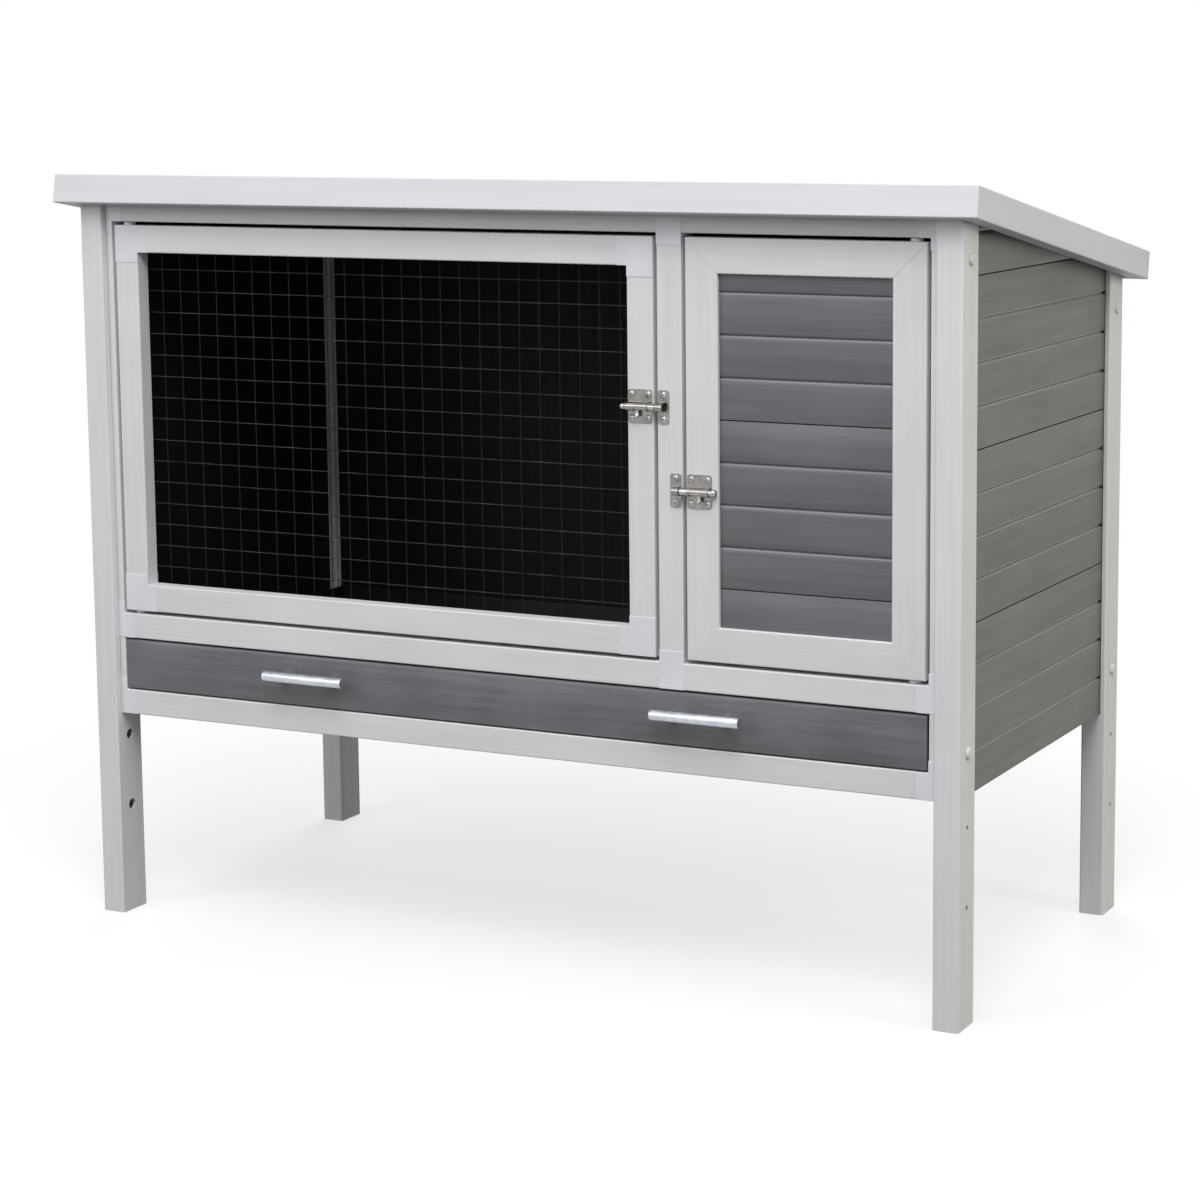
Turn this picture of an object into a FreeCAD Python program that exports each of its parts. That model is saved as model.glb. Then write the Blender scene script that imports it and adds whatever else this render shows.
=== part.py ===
import FreeCAD, Part
import math
import os
from FreeCAD import Vector

# Raised rabbit hutch with a lean-to roof, a wire door, a boarded nest door and a litter drawer.
# Millimetres. X runs left to right, Y front to back, Z up.
# The origin is on the ground under the middle of the hutch's outline.

# Posts: hollow composite profiles from the ground to the roof
POSTS_WIDTH = 1114.0        # over the outer faces, left to right
POSTS_DEPTH = 530.0         # over the front and back faces
POST_W = 30.0               # one post, along X
POST_D = 46.0               # one post, along Y
POST_WALL = 3.0
POST_ROUND = 2.5            # rounding of the long edges
FOOT_PLUG_H = 18.0
LEG_HOLES_Z = (131.0, 218.0)  # spare cross holes
LEG_HOLE_R = 3.5            # in the outer wall
LEG_SOCKET_R = 6.2          # in the wall that faces the other post

# Roof: a rail frame that caps the posts, filled with boards
ROOF_PITCH = 9.7            # degrees down to the back
ROOF_RAIL_H = 34.0
ROOF_SIDE_RAIL_W = 20.0
ROOF_END_RAIL_W = 17.0
ROOF_RAIL_LIP = 12.0        # rail left beside the boards
ROOF_RAIL_ROUND = 1.5
ROOF_SIDE_OVERHANG = 22.5
ROOF_FRONT_OVERHANG = 21.0
ROOF_BACK_OVERHANG = 26.0
ROOF_BOARD_T = 14.0
ROOF_BOARDS = 12
ROOF_GAP = 2.7              # from the frames' and walls' tops to the roof boards

# Rail frames between the posts, front and back
FRAME_SETBACK = 9.0         # behind the posts' faces
FRAME_DEPTH = 30.0
RAIL_H = 30.0
RAIL_WALL = 2.5
RAIL_ROUND = 1.5
STILE_W = 8.5               # front frame, beside the posts
BACK_STILE_W = 8.5
CABINET_BASE = 247.0        # ground to the lowest rail
MULLION_X = 216.5
CONNECTOR_REACH = 14.5      # sideways, past the stile
CONNECTOR_ARM = 13.2        # up or down, past the rail
CONNECTOR_PROUD = 0.5
SPIGOT_L = 16.0
SPIGOT_CLEARANCE = 0.15

# Boards: walls and nest door are tongue-and-groove panels, each moulded as a few boards
BOARD_T = 12.0
BOARD_PITCH = 45.9
PANEL_BOARDS = 4
BOARD_CHAMFER = 2.4         # also the depth of a panel's grooves
BOARD_SHOULDER = 5.5        # height of the slope along each board's upper edge
JOINT_EDGE = 0.7            # chamfers where two panels meet
JOINT_GAP = 1.0             # left open between the panels' faces there
TONGUE_T = 4.0
TONGUE_H = 4.0
TONGUE_CLEARANCE = 0.3
CHANNEL_DEPTH = 6.0
CHANNEL_CLEARANCE = 0.15
SIDE_CHANNEL_CLEARANCE = 0.8
BOARD_INSET = 7.0           # wall boards behind the posts' outer faces

# Doors
DOOR_GAP = 4.2
DOOR_H = 460.5
DOOR_T = 20.0
WIRE_FRAME_W = 32.0
CORNER_ARM = 44.0
NEST_FRAME_W = 38.5
NEST_BOARD_INSET = 5.0
NEST_FIRST_SEAM = 42.2      # above the opening's lower edge
MESH_PITCH = 25.4
WIRE_R = 0.6
MESH_OVERLAP = 22.0
STRIP_W = 18.0
STRIP_T = 3.0
STRIP_INSET = 8.0           # from the opening's edge, out of sight behind the frame
PIVOT_INSET = 15.0          # hinge line from the door's outer edge
PIVOT_R = 4.0
PIVOT_CLEARANCE = 0.08
PIVOT_IN_DOOR = 20.0
PIVOT_IN_RAIL = 10.0
PIVOT_END_CLEARANCE = 0.5
COLLAR_R = 7.0
COLLAR_CLEARANCE = 0.6

# Barrel bolts, drawn back
UPPER_BOLT_RISE = 276.4     # above the doors' lower edges
LOWER_BOLT_RISE = 186.4
LATCH_T = 1.0
LATCH_H = 37.0
LATCH_W = 29.2
LATCH_EDGE = 1.8            # from the door's edge
LATCH_ROUND = 3.0
KEEPER_W = 13.3
KEEPER_EDGE = 1.3           # from the mullion's edge
LOOP_W = 8.0
BARREL_W = 25.5
BARREL_EDGE = 2.5           # from the plate's edge beside the keeper
ROD_R = 4.0
ROD_CLEARANCE = 0.1
ROD_TIP_GAP = 0.5           # to the keeper
ROD_TAIL = 4.0              # rod past the plate's other edge
ROD_TRAVEL = 9.0
TAB_W = 4.0                 # tab that slides the rod
TAB_T = 1.6
TAB_L = 11.5                # below the rod's line
TAB_LIP = 3.2
TAB_FROM_TIP = 23.0
TAB_CLEARANCE = 0.6
WINDOW_DROP = 0.8           # from the rod's line to the tab's window
LATCH_SCREW_X = 10.0
LATCH_SCREW_Z = 13.2
SCREW_HEAD_R = 3.7
SCREW_HEAD_H = 2.2
SCREW_R = 1.4
SCREW_L = 9.0

# Litter drawer
DRAWER_GAP = 2.2
DRAWER_FRONT_H = 59.0
DRAWER_FRONT_T = 14.0
DRAWER_BEVEL = 2.0
TRAY_WALL = 2.5
TRAY_H = 50.0
TRAY_SIDE_GAP = 6.0         # inside the front frame's opening
TRAY_BACK_GAP = 11.0
RUNNER_CLEARANCE = 0.5
RUNNER_LEDGE = 16.0         # under the tray
RUNNER_GUIDE_H = 21.0       # beside the tray
RUNNER_H = 22.0
GUIDE_CLEARANCE = 1.2
BEARER_X = 170.0
BEARER_W = 20.0
HANDLE_X = 253.0
HANDLE_LIFT = 6.0           # above the drawer front's middle
HANDLE_SPACING = 64.0
HANDLE_L = 108.0
HANDLE_R = 6.0
HANDLE_POST_R = 4.5
HANDLE_STANDOFF = 19.0      # drawer face to the bar's middle

# Partition between the run and the nest
PARTITION_T = 12.0
PARTITION_LIFT = 10.0       # above the tray
DOORWAY_W = 170.0
DOORWAY_H = 200.0
DOORWAY_SILL = 20.0
DOORWAY_FROM_BACK = 60.0

# Frame bolts through the posts
BOLT_R = 3.0
BOLT_HEAD_R = 5.0
BOLT_HEAD_H = 2.0
BOLT_FROM_RAIL = 21.6       # to the nearer rail's edge
TOP_BACK_BOLT_FROM_RAIL = 24.6
CAP_R = 6.6
CAP_H = 3.2
CAP_ROUND = 2.5

CUT_PAST = 1.0              # how far a cutter runs past the faces it opens

# Worked out from the dimensions above
PITCH = math.radians(ROOF_PITCH)
ROOF_RUN = ROOF_FRONT_OVERHANG + POSTS_DEPTH + ROOF_BACK_OVERHANG
ROOF_L = ROOF_RUN / math.cos(PITCH)
ROOF_HALF_W = POSTS_WIDTH / 2 + ROOF_SIDE_OVERHANG
ROOF_FRONT_Y = -(ROOF_RUN + ROOF_RAIL_H * math.sin(PITCH)) / 2
BOARDS_UNDER = ROOF_RAIL_H - ROOF_BOARD_T       # roof boards above the rails' undersides
FRONT = ROOF_FRONT_Y + ROOF_FRONT_OVERHANG      # posts' front faces
BACK = FRONT + POSTS_DEPTH                      # posts' back faces
POST_OUT = POSTS_WIDTH / 2
POST_IN = POST_OUT - POST_W
FRAME_Y0 = FRONT + FRAME_SETBACK
FRAME_Y1 = FRAME_Y0 + FRAME_DEPTH
BACK_Y1 = BACK - FRAME_SETBACK
BACK_Y0 = BACK_Y1 - FRAME_DEPTH
STILE_IN = POST_IN - STILE_W
CONNECTOR_IN = STILE_IN - CONNECTOR_REACH
BACK_STILE_IN = POST_IN - BACK_STILE_W
MULLION_X0 = MULLION_X - RAIL_H / 2
MULLION_X1 = MULLION_X + RAIL_H / 2
BASE_TOP = CABINET_BASE + RAIL_H
DRAWER_Z0 = BASE_TOP + DRAWER_GAP
DRAWER_Z1 = DRAWER_Z0 + DRAWER_FRONT_H
MID_Z0 = DRAWER_Z1 + DRAWER_GAP
MID_Z1 = MID_Z0 + RAIL_H
DOOR_Z0 = MID_Z1 + DOOR_GAP
DOOR_Z1 = DOOR_Z0 + DOOR_H
TOP_Z0 = DOOR_Z1 + DOOR_GAP
TOP_Z1 = TOP_Z0 + RAIL_H
DOOR_Y1 = FRAME_Y0 + DOOR_T
WIRE_X0 = -STILE_IN + DOOR_GAP
WIRE_X1 = MULLION_X0 - DOOR_GAP
NEST_X0 = MULLION_X1 + DOOR_GAP
NEST_X1 = STILE_IN - DOOR_GAP
PIVOT_Y = FRAME_Y0 + DOOR_T / 2
WIRE_PIVOT_X = WIRE_X0 + PIVOT_INSET
NEST_PIVOT_X = NEST_X1 - PIVOT_INSET
PANEL_H = PANEL_BOARDS * BOARD_PITCH
BOARD_OUT = POST_OUT - BOARD_INSET
BOARD_IN = BOARD_OUT - BOARD_T
POST_MID_FRONT = FRONT + POST_D / 2
POST_MID_BACK = BACK - POST_D / 2
TRAY_TOP = DRAWER_Z0 + TRAY_H
TRAY_X = STILE_IN - TRAY_SIDE_GAP
RUNNER_TOP = DRAWER_Z0 - RUNNER_CLEARANCE
ROD_Y = FRAME_Y0 - LATCH_T - ROD_R - ROD_CLEARANCE
UPPER_BOLT_Z = DOOR_Z0 + UPPER_BOLT_RISE
LOWER_BOLT_Z = DOOR_Z0 + LOWER_BOLT_RISE


def boards_z(y):
    """Height of the roof boards' undersides, which clear the top rail by the roof gap."""
    return TOP_Z1 + ROOF_GAP - math.tan(PITCH) * (y - FRAME_Y1)


ROOF_FRONT_Z = boards_z(ROOF_FRONT_Y) - BOARDS_UNDER / math.cos(PITCH)
POST_TOP = boards_z(FRONT) + POST_D             # before the roof's pitch is cut
BACK_TOP = boards_z(BACK_Y1) - ROOF_GAP
BACK_TOP_Z0 = BACK_TOP - RAIL_H
FRONT_BOLTS_Z = (BASE_TOP + BOLT_FROM_RAIL, TOP_Z0 - BOLT_FROM_RAIL)
BACK_BOLTS_Z = (BASE_TOP + BOLT_FROM_RAIL, BACK_TOP_Z0 - TOP_BACK_BOLT_FROM_RAIL)


def box(x0, x1, y0, y1, z0, z1):
    return Part.makeBox(x1 - x0, y1 - y0, z1 - z0, Vector(x0, y0, z0))


def rod(radius, start, end):
    way = end - start
    return Part.makeCylinder(radius, way.Length, start, way)


def prism(points, way):
    """Solid of a closed outline carried along a vector."""
    return Part.Face(Part.makePolygon(points + [points[0]])).extrude(way)


def rounded(shape, axis, radius):
    """Fillet the edges of a bar that run along one axis (0 X, 1 Y, 2 Z)."""
    edges = []
    for edge in shape.Edges:
        way = edge.Vertexes[1].Point - edge.Vertexes[0].Point
        if abs(abs(way[axis]) - way.Length) < 1e-6:
            edges.append(edge)
    return shape.makeFillet(radius, edges)


def bar(x0, x1, y0, y1, z0, z1, axis, wall=0.0):
    """Rounded rail along one axis, hollow if it has a wall."""
    shape = rounded(box(x0, x1, y0, y1, z0, z1), axis, RAIL_ROUND)
    if wall:
        grow = [(-wall, wall)] * 3
        grow[axis] = (CUT_PAST, -CUT_PAST)
        (ax, bx), (ay, by), (az, bz) = grow
        shape = shape.cut(box(x0 - ax, x1 - bx, y0 - ay, y1 - by, z0 - az, z1 - bz))
    return shape


def mirrored(shape):
    return shape.mirror(Vector(0, 0, 0), Vector(1, 0, 0))


def on_roof(shape):
    """Lay a shape drawn flat at the origin on the roof's pitch."""
    laid = shape.copy()
    laid.rotate(Vector(0, 0, 0), Vector(1, 0, 0), -ROOF_PITCH)
    laid.translate(Vector(0, ROOF_FRONT_Y, ROOF_FRONT_Z))
    return laid


def under_roof(shape, gap=0.0):
    """Cut off what would reach past the undersides of the roof boards."""
    reach = 2 * ROOF_HALF_W
    above = box(-reach, reach, -reach, 2 * reach, BOARDS_UNDER - gap, BOARDS_UNDER + reach)
    return shape.cut(on_roof(above))


def save(name, *shapes):
    shape = shapes[0] if len(shapes) == 1 else Part.makeCompound(list(shapes))
    shape.exportStep("parts/" + name + ".step")


# Posts

def bolt_holes(x0, x1, middle_y, bolts_z):
    return [rod(BOLT_R, Vector(x0, middle_y, z), Vector(x1, middle_y, z)) for z in bolts_z]


def leg_holes(middle_y):
    """Spare holes through the right post, wider where they face the other post."""
    middle_x = (POST_IN + POST_OUT) / 2
    holes = []
    for z in LEG_HOLES_Z:
        middle = Vector(middle_x, middle_y, z)
        holes.append(rod(LEG_SOCKET_R, middle, middle - Vector(POST_W, 0, 0)))
        holes.append(rod(LEG_HOLE_R, middle, middle + Vector(POST_W, 0, 0)))
    return holes


def post_hollow(front):
    """The post's inner space, short of the channel that holds the wall boards."""
    near = POST_WALL
    far = POST_D - POST_WALL - CHANNEL_DEPTH
    y0, y1 = (FRONT + near, FRONT + far) if front else (BACK - far, BACK - near)
    return POST_IN + POST_WALL, POST_OUT - POST_WALL, y0, y1


def right_post(front):
    y0 = FRONT if front else BACK - POST_D
    body = rounded(box(POST_IN, POST_OUT, y0, y0 + POST_D, 0, POST_TOP), 2, POST_ROUND)
    x0, x1, h0, h1 = post_hollow(front)
    body = body.cut(box(x0, x1, h0, h1, -CUT_PAST, POST_TOP + CUT_PAST)).cut(side_channel())
    bolts_z = FRONT_BOLTS_Z if front else BACK_BOLTS_Z
    middle = POST_MID_FRONT if front else POST_MID_BACK
    holes = bolt_holes(POST_IN - CUT_PAST, POST_OUT + CUT_PAST, middle, bolts_z)
    return under_roof(body.cut(holes + leg_holes(middle)))


def side_channel():
    y0 = FRONT + POST_D - CHANNEL_DEPTH
    y1 = BACK - POST_D + CHANNEL_DEPTH
    return box(BOARD_IN - SIDE_CHANNEL_CLEARANCE, BOARD_OUT + SIDE_CHANNEL_CLEARANCE, y0, y1,
               CABINET_BASE, POST_TOP)


def foot_plugs():
    plugs = []
    for front in (True, False):
        x0, x1, y0, y1 = post_hollow(front)
        plug = box(x0, x1, y0, y1, 0, FOOT_PLUG_H)
        plugs += [plug, mirrored(plug)]
    return plugs


# Frame bolts, with a cap over each head

def bolt_places():
    for z in FRONT_BOLTS_Z:
        yield POST_MID_FRONT, z, STILE_W
    for z in BACK_BOLTS_Z:
        yield POST_MID_BACK, z, BACK_STILE_W


def frame_bolts():
    bolts = []
    for y, z, grip in bolt_places():
        shank = rod(BOLT_R, Vector(POST_IN - grip, y, z), Vector(POST_OUT, y, z))
        head = rod(BOLT_HEAD_R, Vector(POST_OUT, y, z), Vector(POST_OUT + BOLT_HEAD_H, y, z))
        bolt = shank.fuse(head)
        bolts += [bolt, mirrored(bolt)]
    return bolts


def bolt_caps():
    """Domed caps, each hollowed for the bolt's head."""
    caps = []
    for y, z, _ in bolt_places():
        cap = rod(CAP_R, Vector(POST_OUT, y, z), Vector(POST_OUT + CAP_H, y, z))
        rim = [edge for edge in cap.Edges if edge.BoundBox.XMin > POST_OUT + CAP_H / 2]
        cap = cap.makeFillet(CAP_ROUND, rim)
        cap = cap.cut(rod(BOLT_HEAD_R, Vector(POST_OUT, y, z),
                          Vector(POST_OUT + BOLT_HEAD_H, y, z)))
        caps += [cap, mirrored(cap)]
    return caps


# Front frame

def spigot(x0, x1, z0, z1, axis):
    """Tongue of a connector that fills the end of a hollow rail."""
    inset = RAIL_WALL + SPIGOT_CLEARANCE
    y0, y1 = FRAME_Y0 + inset, FRAME_Y1 - inset
    if axis == 0:
        return box(x0, x1, y0, y1, z0 + inset, z1 - inset)
    return box(x0 + inset, x1 - inset, y0, y1, z0, z1)


def front_rail(x0, x1, z0):
    """Hollow rail across the front, bored for the hinge pivots that meet it."""
    return bar(x0, x1, FRAME_Y0, FRAME_Y1, z0, z0 + RAIL_H, 0, RAIL_WALL).cut(pivot_bores())


def side_connector(z0, arms):
    """Moulded fitting beside the right post, with arms (low z, high z) along the stile."""
    y0 = FRAME_Y0 - CONNECTOR_PROUD
    shape = box(CONNECTOR_IN, POST_IN, y0, FRAME_Y1, z0, z0 + RAIL_H)
    for low, high in arms:
        shape = shape.fuse(box(STILE_IN - CONNECTOR_PROUD, POST_IN, y0, FRAME_Y1, low, high))
    shape = shape.fuse(spigot(CONNECTOR_IN - SPIGOT_L, CONNECTOR_IN, z0, z0 + RAIL_H, 0))
    return shape.removeSplitter().cut(pivot_bores())


def frame_corners():
    low = side_connector(CABINET_BASE, [(BASE_TOP, BASE_TOP + CONNECTOR_ARM)])
    high = side_connector(TOP_Z0, [(TOP_Z0 - CONNECTOR_ARM, TOP_Z0)])
    return [low, mirrored(low), high, mirrored(high)]


def mullion_tee(z0, up):
    """Moulded fitting where the mullion meets a rail."""
    y0 = FRAME_Y0 - CONNECTOR_PROUD
    z1 = z0 + RAIL_H
    arm = (z1, z1 + CONNECTOR_ARM) if up else (z0 - CONNECTOR_ARM, z0)
    tongue = (arm[1], arm[1] + SPIGOT_L) if up else (arm[0] - SPIGOT_L, arm[0])
    shape = box(MULLION_X0, MULLION_X1, y0, FRAME_Y1, min(z0, arm[0]), max(z1, arm[1]))
    shape = shape.fuse(spigot(MULLION_X0 - SPIGOT_L, MULLION_X1 + SPIGOT_L, z0, z1, 0))
    return shape.fuse(spigot(MULLION_X0, MULLION_X1, *tongue, 2)).removeSplitter()


def frame_tees():
    side = side_connector(MID_Z0, [(MID_Z1, MID_Z1 + CONNECTOR_ARM)])
    return [side, mirrored(side), mullion_tee(MID_Z0, True), mullion_tee(TOP_Z0, False)]


def right_stile():
    """The two flat lengths between the connectors, bored for the frame bolts."""
    low = bar(STILE_IN, POST_IN, FRAME_Y0, FRAME_Y1, BASE_TOP + CONNECTOR_ARM, MID_Z0, 2)
    high = bar(STILE_IN, POST_IN, FRAME_Y0, FRAME_Y1,
               MID_Z1 + CONNECTOR_ARM, TOP_Z0 - CONNECTOR_ARM, 2)
    holes = bolt_holes(STILE_IN - CUT_PAST, POST_IN + CUT_PAST, POST_MID_FRONT, FRONT_BOLTS_Z)
    return [low.cut(holes), high.cut(holes)]


def mullion():
    z0, z1 = MID_Z1 + CONNECTOR_ARM, TOP_Z0 - CONNECTOR_ARM
    shape = bar(MULLION_X0, MULLION_X1, FRAME_Y0, FRAME_Y1, z0, z1, 2, RAIL_WALL)
    return shape.cut([screw_shank(x, z) for x, z in keeper_screw_places()])


# Boards

def board(length, height, thickness, face):
    """Tongue-and-groove board along X from the origin, outer face at y = 0, tongue up.

    face holds the outline's (y, z) points from the board's upper front edge to its lower one,
    and the front lip ends at the height of the last of them.
    """
    lip = face[-1][1]
    mid = thickness / 2
    tongue0, tongue1 = mid - TONGUE_T / 2, mid + TONGUE_T / 2
    groove0, groove1 = tongue0 - TONGUE_CLEARANCE, tongue1 + TONGUE_CLEARANCE
    groove_h = TONGUE_H + TONGUE_CLEARANCE
    outline = [(groove0, lip), (groove0, groove_h), (groove1, groove_h), (groove1, 0), (thickness, 0),
               (thickness, height), (tongue1, height), (tongue1, height + TONGUE_H),
               (tongue0, height + TONGUE_H), (tongue0, height)] + face
    return prism([Vector(0, y, z) for y, z in outline], Vector(length, 0, 0))


def panel(length):
    """Wall panel: a board whose face is grooved to look like a stack of boards."""
    face = [(JOINT_EDGE, PANEL_H), (0, PANEL_H - JOINT_EDGE)]
    for i in range(PANEL_BOARDS - 1, 0, -1):
        z = i * BOARD_PITCH
        face += [(0, z + BOARD_CHAMFER), (BOARD_CHAMFER, z), (0, z - BOARD_SHOULDER)]
    face += [(0, JOINT_GAP + JOINT_EDGE), (JOINT_EDGE, JOINT_GAP)]
    return board(length, PANEL_H, BOARD_T, face)


def panel_wall(x0, x1, y0, z0, z1, first_seam):
    """Panels stacked from z0 to z1 behind the plane y0, with a seam at first_seam."""
    keep = box(x0, x1, y0, y0 + BOARD_T, z0, z1)
    panels = []
    z = first_seam - PANEL_H
    while z < z1 - TONGUE_H:
        piece = panel(x1 - x0)
        piece.translate(Vector(x0, y0, z))
        panels.append(piece.common(keep))
        z += PANEL_H
    return panels


def right_side_boards():
    """Drawn across the front, then turned to face right between the posts' channels."""
    y0 = FRONT + POST_D - CHANNEL_DEPTH
    y1 = BACK - POST_D + CHANNEL_DEPTH
    boards = []
    for piece in panel_wall(y0, y1, -BOARD_OUT, CABINET_BASE, boards_z(y0),
                            CABINET_BASE + PANEL_H):
        piece.rotate(Vector(0, 0, 0), Vector(0, 0, 1), 90)
        boards.append(under_roof(piece, ROOF_GAP))
    return boards


# Back frame and wall

def back_reach():
    """Half the width of the back wall's boards, which lap over the stiles."""
    return BACK_STILE_IN + CHANNEL_DEPTH


def back_rebate():
    """Space for the wall boards on the inner side of the back frame."""
    x = back_reach()
    return box(-x, x, BACK_Y0 - CUT_PAST, BACK_Y0 + BOARD_T + CHANNEL_CLEARANCE,
               BASE_TOP - CHANNEL_DEPTH, BACK_TOP + CUT_PAST)


def back_bar(x0, x1, z0, z1, axis):
    return bar(x0, x1, BACK_Y0, BACK_Y1, z0, z1, axis).cut(back_rebate())


def right_back_stile():
    shape = back_bar(BACK_STILE_IN, POST_IN, CABINET_BASE, BACK_TOP, 2)
    return shape.cut(bolt_holes(BACK_STILE_IN - CUT_PAST, POST_IN + CUT_PAST,
                                POST_MID_BACK, BACK_BOLTS_Z))


def back_boards():
    """Stacked like the side boards and turned to face the back."""
    x = back_reach()
    boards = []
    for piece in panel_wall(-x, x, -BACK_Y0 - BOARD_T, BASE_TOP - CHANNEL_DEPTH, BACK_TOP,
                            CABINET_BASE + PANEL_H):
        piece.rotate(Vector(0, 0, 0), Vector(0, 0, 1), 180)
        boards.append(piece)
    return boards


# Drawer runners and partition

def right_runner():
    """Ledge under the tray's edge with a guide beside it, from frame to frame."""
    ledge = TRAY_X - RUNNER_LEDGE
    guide = TRAY_X + GUIDE_CLEARANCE
    low, high = RUNNER_TOP - RUNNER_H, RUNNER_TOP + RUNNER_GUIDE_H
    outline = [(ledge, low), (POST_IN, low), (POST_IN, high), (guide, high),
               (guide, RUNNER_TOP), (ledge, RUNNER_TOP)]
    return prism([Vector(x, FRAME_Y1, z) for x, z in outline], Vector(0, BACK_Y0 - FRAME_Y1, 0))


def tray_bearers():
    return [box(x - BEARER_W / 2, x + BEARER_W / 2, FRAME_Y1, BACK_Y0,
                RUNNER_TOP - RUNNER_H, RUNNER_TOP) for x in (-BEARER_X, BEARER_X)]


def partition():
    """Panel behind the mullion with an arched doorway between the run and the nest."""
    x0, x1 = MULLION_X - PARTITION_T / 2, MULLION_X + PARTITION_T / 2
    low = TRAY_TOP + PARTITION_LIFT
    panel = box(x0, x1, FRAME_Y1, BACK_Y0, low, TOP_Z1)
    door_y1 = BACK_Y0 - DOORWAY_FROM_BACK
    door_y0 = door_y1 - DOORWAY_W
    sill = low + DOORWAY_SILL
    spring = sill + DOORWAY_H - DOORWAY_W / 2
    hole_x0, hole_x1 = x0 - CUT_PAST, x1 + CUT_PAST
    hole = box(hole_x0, hole_x1, door_y0, door_y1, sill, spring)
    middle = (door_y0 + door_y1) / 2
    arch = rod(DOORWAY_W / 2, Vector(hole_x0, middle, spring), Vector(hole_x1, middle, spring))
    return under_roof(panel.cut(hole.fuse(arch)), ROOF_GAP)


# Roof

def roof_rail(outer, inner_low, inner_high):
    """One mitred side of the roof frame: two outer corners, and its inner corners at two levels."""
    low = prism([Vector(x, y, 0) for x, y in outer + inner_low], Vector(0, 0, BOARDS_UNDER))
    high = prism([Vector(x, y, BOARDS_UNDER) for x, y in outer + inner_high],
                 Vector(0, 0, ROOF_BOARD_T))
    rail = low.fuse(high).removeSplitter()
    (xa, ya), (xb, yb) = outer
    edges = []
    for edge in rail.Edges:
        a, b = edge.Vertexes[0].Point, edge.Vertexes[-1].Point
        level = abs(a.z - b.z) < 1e-6 and (a.z < 1e-6 or a.z > ROOF_RAIL_H - 1e-6)
        outside = (abs(a.x - xa) + abs(b.x - xb) + abs(a.y - ya) + abs(b.y - yb) < 1e-3
                   or abs(a.x - xb) + abs(b.x - xa) + abs(a.y - yb) + abs(b.y - ya) < 1e-3)
        if level and outside:
            edges.append(edge)
    return on_roof(rail.makeFillet(ROOF_RAIL_ROUND, edges))


def corners(inset_x, inset_y):
    """Plan corners of the roof frame, counter-clockwise from the front left."""
    x, y0, y1 = ROOF_HALF_W - inset_x, inset_y, ROOF_L - inset_y
    return [(-x, y0), (x, y0), (x, y1), (-x, y1)]


def roof_rails():
    outer = corners(0, 0)
    low = corners(ROOF_SIDE_RAIL_W, ROOF_END_RAIL_W)
    high = corners(ROOF_RAIL_LIP, ROOF_RAIL_LIP)
    names = ("roof_rail_front", "roof_rail_right", "roof_rail_back", "roof_rail_left")
    for i, name in enumerate(names):
        j = (i + 1) % 4
        save(name, roof_rail([outer[i], outer[j]], [low[j], low[i]], [high[j], high[i]]))


def roof_boards():
    """Boards that run down the pitch, side by side between the rails' lips."""
    half = ROOF_HALF_W - ROOF_RAIL_LIP
    width = 2 * half / ROOF_BOARDS
    face = [(BOARD_CHAMFER, width), (0, width - BOARD_SHOULDER), (0, BOARD_CHAMFER), (BOARD_CHAMFER, 0)]
    keep = box(-half, half, ROOF_RAIL_LIP, ROOF_L - ROOF_RAIL_LIP, BOARDS_UNDER, ROOF_RAIL_H)
    boards = []
    for i in range(ROOF_BOARDS):
        piece = board(ROOF_L - 2 * ROOF_RAIL_LIP, width, ROOF_BOARD_T, face)
        piece.rotate(Vector(0, 0, 0), Vector(1, 0, 0), -90)
        piece.rotate(Vector(0, 0, 0), Vector(0, 0, 1), 90)
        piece.translate(Vector(half - i * width, ROOF_RAIL_LIP, ROOF_RAIL_H))
        boards.append(on_roof(piece.common(keep)))
    return boards


# Hinge pivots

def pivot_bores():
    radius = PIVOT_R + PIVOT_CLEARANCE
    bores = []
    for x in (WIRE_PIVOT_X, NEST_PIVOT_X):
        for z0, z1 in ((MID_Z1 - PIVOT_IN_RAIL, MID_Z1 + CUT_PAST),
                       (TOP_Z0 - CUT_PAST, TOP_Z0 + PIVOT_IN_RAIL)):
            bores.append(rod(radius, Vector(x, PIVOT_Y, z0), Vector(x, PIVOT_Y, z1)))
    return bores


def pivots(x):
    """Upper and lower pins, each with a collar that shows in the gap."""
    end = DOOR_GAP + PIVOT_IN_RAIL - PIVOT_END_CLEARANCE
    collar = DOOR_GAP - COLLAR_CLEARANCE
    pins = []
    for edge, way in ((DOOR_Z0, -1), (DOOR_Z1, 1)):
        pin = rod(PIVOT_R, Vector(x, PIVOT_Y, edge - way * PIVOT_IN_DOOR),
                  Vector(x, PIVOT_Y, edge + way * end))
        ring = rod(COLLAR_R, Vector(x, PIVOT_Y, edge), Vector(x, PIVOT_Y, edge + way * collar))
        pins.append(pin.fuse(ring))
    return pins


# Wire door

def wire_stile(x0, x1):
    z0, z1 = DOOR_Z0 + CORNER_ARM, DOOR_Z1 - CORNER_ARM
    return bar(x0, x1, FRAME_Y0, DOOR_Y1, z0, z1, 2, RAIL_WALL)


def wire_rail(z0):
    x0, x1 = WIRE_X0 + CORNER_ARM, WIRE_X1 - CORNER_ARM
    return bar(x0, x1, FRAME_Y0, DOOR_Y1, z0, z0 + WIRE_FRAME_W, 0, RAIL_WALL)


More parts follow.
